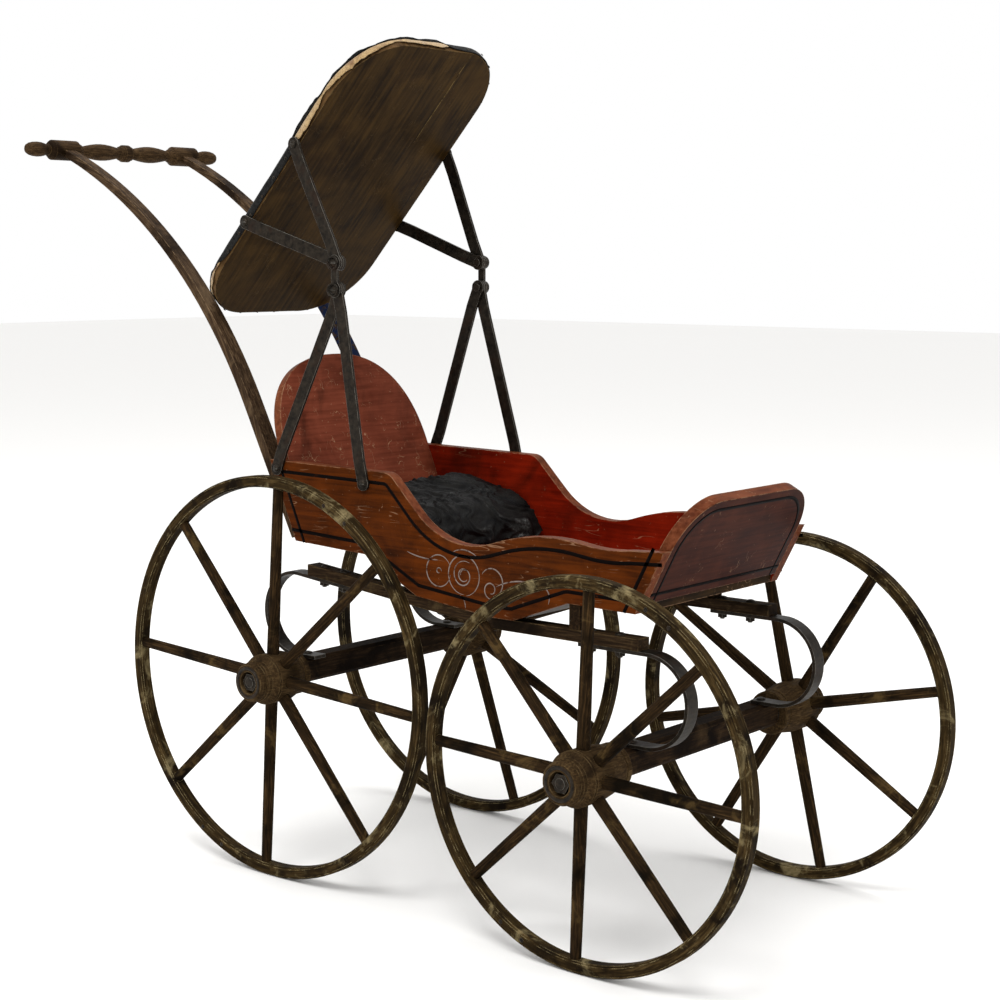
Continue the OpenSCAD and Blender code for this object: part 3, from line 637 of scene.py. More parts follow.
@dataclass(frozen=True)
class PaintedBoard:
    """Old oil paint on a planed board.

    The eye sees a satin film with drawn-out brush streaks, pale scratches, small chips down to
    the ground coat, darker dirt in patches, and edges rubbed to a pinkish brown.
    """

    name: str
    outward: tuple[float, float, float]
    outside: tuple[str, str]
    inside: tuple[str, str]
    edge: tuple[str, str]
    grain: Grain = Grain.ALONG
    turn: float = 0.0
    scratches: float = 0.5
    chip: str = "a88263"

    def build(self) -> bpy.types.Material:
        """Builds the material.

        Returns:
            The finished paint.
        """
        shader = Shader(self.name)
        place = shader.add("TexCoord").outputs
        own = place["Object"]
        facing = shader.add("VectorMath", {0: place["Normal"], 1: self.outward},
                            operation="DOT_PRODUCT").outputs["Value"]
        streaks = shader.noise(grain_place(shader, self.grain, (0, 0, 0), self.turn), 3.5, 5.0, 0.3)
        clouds = shader.noise(own, 38.0, 5.0, 0.6)
        mix = shader.math("ADD", shader.math("MULTIPLY", streaks, 0.5),
                          shader.math("MULTIPLY", clouds, 0.5))
        shades = [shader.ramp(mix, [(0.38, pair[0]), (0.62, pair[1])])
                  for pair in (self.outside, self.inside, self.edge)]
        base = shader.blend(shader.between(facing, 0.55, 0.65), shades[2], shades[0])
        base = shader.blend(shader.between(facing, -0.55, -0.65), base, shades[1])
        marks = self.marks(shader, own)
        edges, soft = shader.edge_wear(1.5)
        broken = shader.between(shader.noise(own, 6.0, 6.0), 0.36, 0.58)
        rub = shader.math("MULTIPLY", edges, broken)
        base = shader.blend(shader.math("MULTIPLY", rub, 0.62), base, self.chip)
        base = shader.blend(shader.math("MULTIPLY", marks, self.scratches), base, self.chip)
        grime = shader.between(shader.noise(own, 70.0, 6.0, 1.2), 0.5, 0.72)
        base = shader.blend(shader.math("MULTIPLY", grime, 0.5), base, "1b0c05")
        shader.connect(shader.surface, {
            "Base Color": base,
            "Roughness": shader.math("ADD", shader.math("MULTIPLY", mix, 0.3), 0.3),
            "Specular IOR Level": 0.02,
            "Normal": shader.bump(shader.math("SUBTRACT", mix, shader.math("MULTIPLY", marks, 0.5)),
                                  0.2, soft, 0.6)})
        return shader.material

    def marks(self, shader: Shader, own: Socket) -> Socket:
        """Mask of scratches and chips.

        Scratches are the narrow zero lines of two noises drawn out along different slants, kept
        only in patches; chips are the peaks of a fine noise.

        Args:
            shader: Material being built.
            own: Object coordinates.

        Returns:
            The mask, 1 in a mark.
        """
        lines = None
        for slant, seed in ((35.0, 0.3), (-50.0, 1.7)):
            drawn = shader.add("Mapping", {"Vector": own, "Location": (seed, seed, seed),
                                           "Rotation": (0.4, math.radians(slant), 0.5),
                                           "Scale": (0.12, 1.0, 1.0)}).outputs[0]
            value = shader.noise(drawn, 16.0, 2.0)
            line = shader.between(shader.math("ABSOLUTE", shader.math("SUBTRACT", value, 0.5)),
                                  0.0045, 0.0015)
            lines = line if lines is None else shader.math("MAXIMUM", lines, line)
        kept = shader.between(shader.noise(own, 22.0, 3.0), 0.54, 0.62)
        chips = shader.between(shader.noise(own, 3.2, 3.0), 0.70, 0.74)
        return shader.math("MAXIMUM", shader.math("MULTIPLY", lines, kept),
                           shader.math("MULTIPLY", chips, 0.8))


@dataclass(frozen=True)
class WroughtIron:
    """Hand-forged iron strap with a dark fire scale, rubbed bright on its corners.

    The eye sees a dull grey-brown skin, faint hammer unevenness, and thin light lines at edges.
    """

    name: str
    scale: tuple[str, str] = ("120f0b", "342d25")
    bright: str = "86827a"
    rust: str = "2b1c12"

    def build(self) -> bpy.types.Material:
        """Builds the material.

        Returns:
            The finished iron.
        """
        shader = Shader(self.name)
        own = shader.add("TexCoord").outputs["Object"]
        skin = shader.noise(own, 5.0, 6.0, 0.3, 0.7)
        base = shader.ramp(skin, [(0.35, self.scale[0]), (0.68, self.scale[1])])
        rusty = shader.between(shader.noise(own, 16.0, 5.0, 0.5), 0.52, 0.7)
        base = shader.blend(shader.math("MULTIPLY", rusty, 0.6), base, self.rust)
        edges, soft = shader.edge_wear(0.7)
        broken = shader.between(shader.noise(own, 9.0, 4.0), 0.3, 0.55)
        rub = shader.math("MULTIPLY", edges, broken)
        shader.connect(shader.surface, {
            "Base Color": shader.blend(shader.math("MULTIPLY", rub, 0.8), base, self.bright),
            "Metallic": 0.7,
            "Specular IOR Level": 0.2,
            "Roughness": shader.math("ADD", shader.math("MULTIPLY", skin, 0.35), 0.32),
            "Normal": shader.bump(skin, 0.25, soft, 0.6)})
        return shader.material


@dataclass(frozen=True)
class StripePaint:
    """A thin line of enamel drawn with a long brush, rubbed away here and there."""

    name: str
    line: str
    ground: str
    worn_from: float
    worn_to: float

    def build(self) -> bpy.types.Material:
        """Builds the material.

        Returns:
            The finished line paint.
        """
        shader = Shader(self.name)
        own = shader.add("TexCoord").outputs["Object"]
        worn = shader.between(shader.noise(own, 9.0, 6.0, 0.4, 0.7), self.worn_from, self.worn_to)
        shader.connect(shader.surface, {
            "Base Color": shader.blend(worn, self.line, self.ground),
            "Roughness": 0.5, "Specular IOR Level": 0.02})
        return shader.material


@dataclass(frozen=True)
class Oilcloth:
    """Black oilcloth gone stiff: cotton with a cracked film of oil paint.

    The eye sees a dull black skin, grey on the crests of its folds, a web of fine cracks and a soft
    broken shine. The grey on the crests is partly rubbed wear and partly a painted highlight. The
    "fold" value on the piece is 1 on the crests of its folds.
    """

    name: str
    dark: str = "050506"
    skin: str = "171614"
    # grey of the fold crests: partly rubbed wear, partly a painted highlight
    rubbed: str = "5a5b59"

    def build(self) -> bpy.types.Material:
        """Builds the material.

        Returns:
            The finished oilcloth.
        """
        shader = Shader(self.name)
        own = shader.add("TexCoord").outputs["Object"]
        clouds = shader.noise(own, 14.0, 6.0, 0.8, 0.65)
        base = shader.ramp(clouds, [(0.36, self.dark), (0.66, self.skin)])
        fold = shader.add("Attribute", attribute_name="fold").outputs["Fac"]
        gritty = shader.between(shader.noise(own, 2.2, 5.0, 0.2, 0.8), 0.42, 0.62)
        # grey on the fold crests, broken into gritty streaks: partly rubbed wear, partly a painted
        # highlight
        rub = shader.math("MULTIPLY", shader.between(fold, 0.35, 1.0), gritty)
        cracks = shader.add("TexVoronoi", {"Vector": own, "Scale": 1 / (2.6 * MM)},
                            feature="DISTANCE_TO_EDGE").outputs[0]
        web = shader.between(cracks, 0.07, 0.01)
        height = shader.math("SUBTRACT", clouds, shader.math("MULTIPLY", web, 0.35))
        shader.connect(shader.surface, {
            "Base Color": shader.blend(shader.math("MULTIPLY", rub, 0.9), base, self.rubbed),
            "Roughness": shader.math("ADD", shader.math("MULTIPLY", clouds, 0.4), 0.3),
            "Specular IOR Level": 0.06,
            "Normal": shader.bump(height, 0.35, strength=0.7)})
        return shader.material


@dataclass(frozen=True)
class CoarseWadding:
    """Coarse cotton wadding, yellowed and stained, with matted fibres."""

    name: str
    pale: str = "ac9060"
    stained: str = "6e4e2a"
    dark: str = "261709"

    def build(self) -> bpy.types.Material:
        """Builds the material.

        Returns:
            The finished wadding.
        """
        shader = Shader(self.name)
        own = shader.add("TexCoord").outputs["Object"]
        matted = shader.noise(own, 2.4, 8.0, 1.6, 0.75)
        stains = shader.noise(own, 18.0, 5.0, 0.7)
        base = shader.ramp(matted, [(0.32, self.stained), (0.58, self.pale)])
        base = shader.blend(shader.between(stains, 0.5, 0.66), base, self.stained)
        base = shader.blend(shader.between(matted, 0.36, 0.26), base, self.dark)
        shader.connect(shader.surface, {
            "Base Color": base, "Roughness": 0.95, "Sheen Weight": 0.3,
            "Normal": shader.bump(matted, 0.9, strength=0.9)})
        return shader.material


# ---------------------------------------------------------------- flat boards in space

@dataclass
class Board:
    """The frame of a flat CAD board: its middle, directions and half sizes.

    The normal is that of the board's largest triangle, which lies on one of its two faces. Y is
    the second direction, and the long one is at right angles to both, pointing up.
    """

    centre: np.ndarray
    along: np.ndarray
    normal: np.ndarray
    half: np.ndarray

    @classmethod
    def of(cls, node: str) -> "Board":
        """Measures a CAD node that is symmetric about Y = 0.

        Args:
            node: The CAD node.

        Returns:
            The board's frame.
        """
        points = node_points(node)
        corners = points[node_triangles(node)]
        faces = np.cross(corners[:, 1] - corners[:, 0], corners[:, 2] - corners[:, 0])
        x, _, z = faces[np.linalg.norm(faces, axis=1).argmax()]
        along = np.array([z, 0.0, -x]) / math.hypot(x, z)
        along *= 1.0 if along[2] > 0 else -1.0
        normal = np.array([-along[2], 0.0, along[0]])
        spans = np.stack([points @ along, points[:, 1], points @ normal], 1)
        low, high = spans.min(0), spans.max(0)
        middle = (low + high) / 2
        centre = middle[0] * along + middle[1] * np.array([0, 1, 0]) + middle[2] * normal
        return cls(centre, along, normal, (high - low) / 2)

    def place(self, u: np.ndarray, v: np.ndarray, w: np.ndarray) -> np.ndarray:
        """Points at u along the board, v along Y and w along its normal, from its middle.

        Args:
            u: Distances along the board.
            v: Distances along Y.
            w: Distances along the normal.

        Returns:
            Points with one more axis, for X, Y and Z.
        """
        u, v, w = np.broadcast_arrays(u, v, w)
        across = np.array([0.0, 1.0, 0.0])
        return (self.centre + u[..., None] * self.along + v[..., None] * across
                + w[..., None] * self.normal)

    @property
    def lean(self) -> float:
        """Angle of the long direction above +X, in degrees."""
        return math.degrees(math.atan2(self.along[2], self.along[0]))


def flat_outline(points: np.ndarray, faces: np.ndarray) -> np.ndarray:
    """Outer edge of a flat triangle mesh.

    Directed edges whose reverse is not there are the border; they are chained into loops and
    the loop with the largest area is kept, counter-clockwise.

    Args:
        points: Flat points (n, 2).
        faces: Triangles (m, 3).

    Returns:
        The border's points in order.
    """
    keys = np.round(points / (0.02 * MM)).astype(np.int64)
    _, first, same = np.unique(keys, axis=0, return_index=True, return_inverse=True)
    points, faces = points[first], same.reshape(-1)[faces]
    edges = {(a, b) for f in faces.tolist() for a, b in zip(f, f[1:] + f[:1]) if a != b}
    border = {a: b for a, b in edges if (b, a) not in edges}
    best, best_area = np.zeros((0, 2)), 0.0
    while border:
        start, at = border.popitem()
        loop = [start]
        while at != start and at in border:
            loop.append(at)
            at = border.pop(at)
        ring = points[loop]
        area = 0.5 * np.sum(ring[:, 0] * np.roll(ring[:, 1], -1) - ring[:, 1] * np.roll(ring[:, 0], -1))
        if abs(area) > abs(best_area):
            best, best_area = (ring if area > 0 else ring[::-1]), area
    return best


def face_outline(node: str, origin: np.ndarray, first: np.ndarray, second: np.ndarray,
                 normal: np.ndarray) -> np.ndarray:
    """Outline of the face of a CAD node that lies in a plane.

    Args:
        node: The CAD node.
        origin: A point of the plane.
        first: Direction of the outline's first coordinate.
        second: Direction of its second coordinate.
        normal: The plane's normal.

    Returns:
        Outline points (n, 2), counter-clockwise in the two directions.
    """
    triangles = node_triangles(node)
    offset = node_points(node) - origin
    flat = np.abs(offset @ normal) < 0.05 * MM
    return flat_outline(np.stack([offset @ first, offset @ second], 1),
                        triangles[flat[triangles].all(1)])


def sharp_corners(ring: np.ndarray, least_turn: float) -> np.ndarray:
    """Indices of the points where a closed outline turns by more than least_turn degrees.

    Args:
        ring: Closed outline (n, 2), counter-clockwise.
        least_turn: Turn in degrees that counts as a corner.

    Returns:
        Indices into the outline.
    """
    before = ring - np.roll(ring, 1, 0)
    after = np.roll(ring, -1, 0) - ring
    cross = before[:, 0] * after[:, 1] - before[:, 1] * after[:, 0]
    turn = np.degrees(np.arctan2(cross, (before * after).sum(1)))
    return np.flatnonzero(turn > least_turn)


def inner_lines(ring: np.ndarray, inset: float, least_turn: float) -> list[np.ndarray]:
    """Lines parallel to a board's edges, each carried on until it meets the next edges.

    The outline is cut at its sharp corners. Each run is moved inwards along its normals, and
    its ends are moved along their tangents to the straight lines of the neighbouring edges.

    Args:
        ring: Closed outline (n, 2), counter-clockwise.
        inset: Distance from the edge.
        least_turn: Turn in degrees that counts as a corner.

    Returns:
        One path for each run between corners.
    """
    corners = sharp_corners(ring, least_turn)
    lines = []
    for k, start in enumerate(corners):
        stop = corners[(k + 1) % len(corners)]
        count = (stop - start) % len(ring) + 1
        run = ring[(start + np.arange(count)) % len(ring)]
        path = resample(run, max(24, int(np.linalg.norm(run[-1] - run[0]) / (2 * MM))))
        moved = path + inset * side_normals(path)
        before = ring[start] - ring[(start - 1) % len(ring)]
        after = ring[(stop + 1) % len(ring)] - ring[stop]
        first = meet(moved[0], moved[1] - moved[0], ring[start], before)
        last = meet(moved[-1], moved[-1] - moved[-2], ring[stop], after)
        lines.append(np.vstack([first, moved[1:-1], last]))
    return lines


def meet(point: np.ndarray, way: np.ndarray, other: np.ndarray, other_way: np.ndarray) -> np.ndarray:
    """Where two flat lines cross."""
    shares = np.linalg.solve(np.stack([way, -other_way], 1), other - point)
    return point + shares[0] * way


@dataclass
class PaintedLine:
    """A brush line on a flat board: a flat path swept by a thin rectangle."""

    path: np.ndarray
    width: float
    taper: float = 0.0
    film: float = 0.16 * MM

    def grid(self, origin: np.ndarray, first: np.ndarray, second: np.ndarray,
             normal: np.ndarray) -> np.ndarray:
        """Points (stations, 4, 3) of the film: half its depth lies inside the board.

        The half width is the full one times sin(pi t)^taper, so a tapered line swells from a
        fine start and thins out again.

        Args:
            origin: A point of the board's face.
            first: Direction of the path's first coordinate.
            second: Direction of its second coordinate.
            normal: Direction across the film.

        Returns:
            The film's corners at each station.
        """
        t = np.linspace(0.02, 0.98, len(self.path))
        half = (0.5 * self.width * np.sin(math.pi * t) ** self.taper)[:, None]
        sideways = side_normals(self.path)
        left, right = self.path + half * sideways, self.path - half * sideways
        corners = []
        for flat, height in ((left, -0.5), (left, 0.5), (right, 0.5), (right, -0.5)):
            corners.append(origin + flat[:, :1] * first + flat[:, 1:] * second
                           + height * self.film * normal)
        return np.stack(corners, 1)


# ---------------------------------------------------------------- finishes of this carriage

ORANGE = ("321504", "582808")
RED = ("560f04", "801c08")
EDGE = ("47200f", "6f3d26")
MAROON = ("2a1410", "43241b")
BACK_RED = ("572718", "753a28")
RAW_WOOD = ("1c130a", "352615")


def rim_wood(centre: tuple[float, float, float], side: str) -> OldWood:
    """Steam-bent ash of a rim, its tread worn grey and tan."""
    return OldWood(f"steam_bent_ash_{side}", "120c06", "2c2110", "504026", "ab9a70", Grain.RING,
                   centre, fibre_mm=2.2, wear=1.0)


def spoke_wood(centre: tuple[float, float, float], side: str) -> OldWood:
    """Turned ash spokes, dark with old varnish."""
    return OldWood(f"turned_ash_spokes_{side}", "0c0804", "251a0e", "49361f", "8a6f42", Grain.STAR,
                   centre, fibre_mm=1.8)


def hub_wood(centre: tuple[float, float, float], side: str) -> OldWood:
    """Turned elm hub with its fibres along the axle."""
    return OldWood(f"turned_elm_{side}", "1a120a", "372918", "54422a", "786546", Grain.ACROSS,
                   centre, fibre_mm=1.5, roughness=0.7)


# ---------------------------------------------------------------- sub-assemblies

@dataclass
class Wheels:
    """The four wheels: finishes of rim, spokes and hub, and an iron ring on each hub's nose."""

    ring_radius: float = 12.6 * MM
    ring_wire: float = 1.5 * MM
    rivet_radius: float = 1.9 * MM
    rivet_height: float = 0.9 * MM
    rivet_inset: float = 5.0 * MM
    rivet_angles: tuple[float, ...] = (24.0, 33.0, 201.0, 210.0)

    def build(self, iron: bpy.types.Material) -> None:
        """Dresses every wheel and adds its ring and rim rivets.

        Args:
            iron: The iron of rings and rivets.
        """
        for corner in ("right_rear", "left_rear", "right_front", "left_front"):
            low, high = (np.array(p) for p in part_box(f"{corner}_rim"))
            centre = tuple((low + high) / 2)
            dress([f"{corner}_rim"], rim_wood(centre, corner).build())
            dress([f"{corner}_spokes"], spoke_wood(centre, corner).build())
            dress([f"{corner}_hub"], hub_wood(centre, corner).build())
            outward = math.copysign(1.0, centre[1])
            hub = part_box(f"{corner}_hub")
            nose = max(abs(hub[0][1]), abs(hub[1][1])) * outward
            self.nose_ring(corner, (centre[0], nose, centre[2]), iron)
            self.rivets(corner, np.array(centre), (high - low) / 2, outward, iron)

    def nose_ring(self, corner: str, at: tuple[float, float, float],
                  iron: bpy.types.Material) -> None:
        """Half-round iron ring: a small circle carried round the axle.

        Args:
            corner: Which wheel, such as right_rear.
            at: Middle of the ring.
            iron: The ring's material.
        """
        around = np.linspace(0, TAU, 64, endpoint=False)[:, None]
        section = np.linspace(0, TAU, 12, endpoint=False)[None, :]
        radius = self.ring_radius + self.ring_wire * np.cos(section)
        points = np.stack([at[0] + radius * np.cos(around),
                           at[1] + 0.5 * self.ring_wire * np.sin(section) + 0.0 * around,
                           at[2] + radius * np.sin(around)], -1)
        ring = surface(f"{corner}_hub_ring", points, wrap_columns=True, wrap_rows=True)
        finish(ring, iron, f"{corner}_wheel")

    def rivets(self, corner: str, centre: np.ndarray, half: np.ndarray, outward: float,
               iron: bpy.types.Material) -> None:
        """Domed rivets in pairs through the lap where the bent rim's two ends meet.

        Args:
            corner: Which wheel, such as right_rear.
            centre: Middle of the wheel.
            half: Half sizes of its rim.
            outward: -1 on the right, 1 on the left.
            iron: The rivets' material.
        """
        middle = half[0] - self.rivet_inset
        domes = []
        for angle in np.radians(self.rivet_angles):
            seat = centre + [middle * math.sin(angle), outward * half[1], middle * math.cos(angle)]
            domes.append(dome(seat, np.array([0.0, outward, 0.0]), self.rivet_radius,
                              self.rivet_height))
        finish(joined(f"{corner}_rim_rivets", domes), iron, f"{corner}_wheel")


def dome(seat: np.ndarray, way: np.ndarray, radius: float, height: float) -> np.ndarray:
    """Points (6, 12, 3) of a low dome: a quarter ellipse carried round its axis.

    Args:
        seat: Middle of the dome's foot.
        way: Unit direction in which it stands.
        radius: Radius of the foot.
        height: Height above the foot; the foot reaches a tenth of it below.

    Returns:
        Rings from the foot to the crown.
    """
    helper = np.array([1.0, 0.0, 0.0]) if abs(way[0]) < 0.9 else np.array([0.0, 0.0, 1.0])
    first = np.cross(way, helper)
    first /= np.linalg.norm(first)
    second = np.cross(way, first)
    rise = np.linspace(-0.1, 0.97, 6)[:, None]
    turn = np.linspace(0, TAU, 12, endpoint=False)[None, :]
    spread = radius * np.sqrt(1.0 - np.clip(rise, 0, 1) ** 2)
    return (seat + (spread * np.cos(turn))[..., None] * first
            + (spread * np.sin(turn))[..., None] * second
            + (height * rise + 0.0 * turn)[..., None] * way)


@dataclass
class RunningGear:
    """Axles, axle beds, C-springs and rails."""

    def build(self, iron: bpy.types.Material) -> None:
        """Dresses the running gear.

        Args:
            iron: The iron of axles, springs and bolts.
        """
        bed = OldWood("oak_axle_beds", "0e0906", "21170e", "3a2b1b", "5a462e", Grain.ACROSS,
                      fibre_mm=2.0, roughness=0.7)
        rail = OldWood("ash_rails", "120c07", "2b1f14", "4a3a26", "715e3e", Grain.ALONG,
                       fibre_mm=1.8)
        dress(["rear_axle_bed", "front_axle_bed", "rest_blocks"], bed.build())
        dress(["right_rail", "left_rail"], rail.build())
        dress(["rear_axle", "front_axle", "axle_washers", "axle_nuts", "spring_bolts",
               "right_rear_spring", "left_rear_spring", "right_front_spring",
               "left_front_spring"], iron)


@dataclass
class Body:
    """The painted body: boards, floor, pinstripes and brush scrolls."""

    stripe_width: float = 3.0 * MM
    side_inset: float = 9.5 * MM
    dash_inset: float = 8.0 * MM
    corner_turn: float = 50.0
    scroll_reach: float = 225.0 * MM
    scroll_height: float = 31.5 * MM
    scroll_width: float = 1.15 * MM

    def build(self) -> None:
        """Dresses the boards and paints their lines."""
        for side, outward in (("right", -1.0), ("left", 1.0)):
            paint = PaintedBoard(f"orange_brown_oil_paint_{side}", (0, outward, 0), ORANGE, RED,
                                 EDGE, scratches=0.4)
            dress([f"{side}_side"], paint.build())
            self.side_lines(side, outward)
        dress(["back_board"], PaintedBoard("red_brown_oil_paint", (-1, 0, 0), ORANGE, BACK_RED,
                                           EDGE, Grain.ACROSS, scratches=0.75).build())
        dress(["dash_board"], PaintedBoard("maroon_oil_paint", (1, 0, 0), MAROON, RED, EDGE,
                                           Grain.ACROSS, scratches=0.3).build())
        floor = PaintedBoard("red_oil_paint", (0, 0, 1), RED, RAW_WOOD, RAW_WOOD, Grain.ACROSS,
                             scratches=0.7)
        dress(["rear_floor", "well_back", "well_floor", "well_front", "front_floor",
               "seat_board"], floor.build())
        dress(["seat_cleats"], OldWood("pine_seat_cleats", "1a110a", "332416", "4c3a22", "6a5438",
                                       Grain.ALONG).build())
        self.dash_lines()

    def side_lines(self, side: str, outward: float) -> None:
        """Pinstripes parallel to a side board's edges, and its scroll.

        Args:
            side: right or left.
            outward: -1 on the right, 1 on the left.
        """
        low, high = (np.array(p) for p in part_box(f"{side}_side"))
        plane = np.array([0.0, low[1] if outward < 0 else high[1], 0.0])
        x_way, y_way, z_way = np.eye(3)
        ring = face_outline(f"{side}_side", plane, x_way, z_way, y_way)
        stripes = [PaintedLine(path, self.stripe_width).grid(plane, x_way, z_way, y_way)
                   for path in inner_lines(ring, self.side_inset, self.corner_turn)]
        black = StripePaint(f"black_enamel_stripe_{side}", "0a0605", ORANGE[0], 0.6, 0.72)
        finish(joined(f"{side}_side_stripes", stripes), black.build(), "carriage")
        middle = np.array([low[0] + self.scroll_reach, low[2] + self.scroll_height])
        strokes = [PaintedLine(middle + path * MM, self.scroll_width, 0.5)
                   .grid(plane, x_way, z_way, y_way) for path in scroll_strokes()]
        silver = StripePaint(f"silver_grey_scroll_{side}", "7d7069", ORANGE[0], 0.46, 0.66)
        finish(joined(f"{side}_side_scroll", strokes), silver.build(), "carriage")

    def dash_lines(self) -> None:
        """Pinstripes parallel to the front board's edges, on its front face."""
        board = Board.of("dash_board")
        plane = board.centre - board.half[2] * board.normal
        y_way = np.array([0.0, 1.0, 0.0])
        ring = face_outline("dash_board", plane, y_way, board.along, board.normal)
        stripes = [PaintedLine(path, self.stripe_width).grid(plane, y_way, board.along,
                                                             board.normal)
                   for path in inner_lines(ring, self.dash_inset, self.corner_turn)]
        black = StripePaint("black_enamel_stripe_front", "080505", MAROON[0], 0.6, 0.72)
        finish(joined("front_board_stripes", stripes), black.build(), "carriage")


def scroll_strokes() -> list[np.ndarray]:
    """Brush strokes of a plain scroll, in millimetres from its middle.

    Each curl is a spiral whose radius shrinks evenly with its angle; the tails are quadratic
    curves through three points.

    Returns:
        One path for each stroke.
    """
    curls = (((0.0, 0.0), 17.0, 16.0, -80.0, 350.0), ((0.0, 0.0), 12.5, 3.0, 60.0, 480.0),
             ((-27.0, 1.0), 13.5, 13.0, 20.0, 330.0), ((-27.0, 1.0), 3.0, 1.5, 0.0, 300.0),
             ((30.0, -3.0), 12.0, 11.0, 150.0, -230.0), ((29.0, -9.0), 8.0, 3.0, -60.0, -400.0),
             ((0.0, 0.0), 5.5, 5.0, 30.0, 290.0))
    strokes = []
    for middle, outer, inner, start, sweep in curls:
        t = np.linspace(0.0, 1.0, 90)[:, None]
        angle = np.radians(start + sweep * t)
        radius = outer + (inner - outer) * t
        strokes.append(np.array(middle) + radius * np.hstack([np.cos(angle), np.sin(angle)]))
    tails = (((-28.0, 10.0), (-48.0, 9.0), (-62.0, 14.0)),
             ((34.0, -6.0), (52.0, 4.0), (80.0, 1.0)),
             ((-4.0, -17.0), (2.0, -19.0), (2.0, -27.0)),
             ((-12.0, 18.0), (0.0, 25.0), (14.0, 17.0)), ((80.0, 1.0), (92.0, -3.0), (88.0, -14.0)))
    for first, bend, last in tails:
        t = np.linspace(0.0, 1.0, 40)[:, None]
        strokes.append((1 - t) ** 2 * np.array(first) + 2 * t * (1 - t) * np.array(bend)
                       + t**2 * np.array(last))
    return strokes


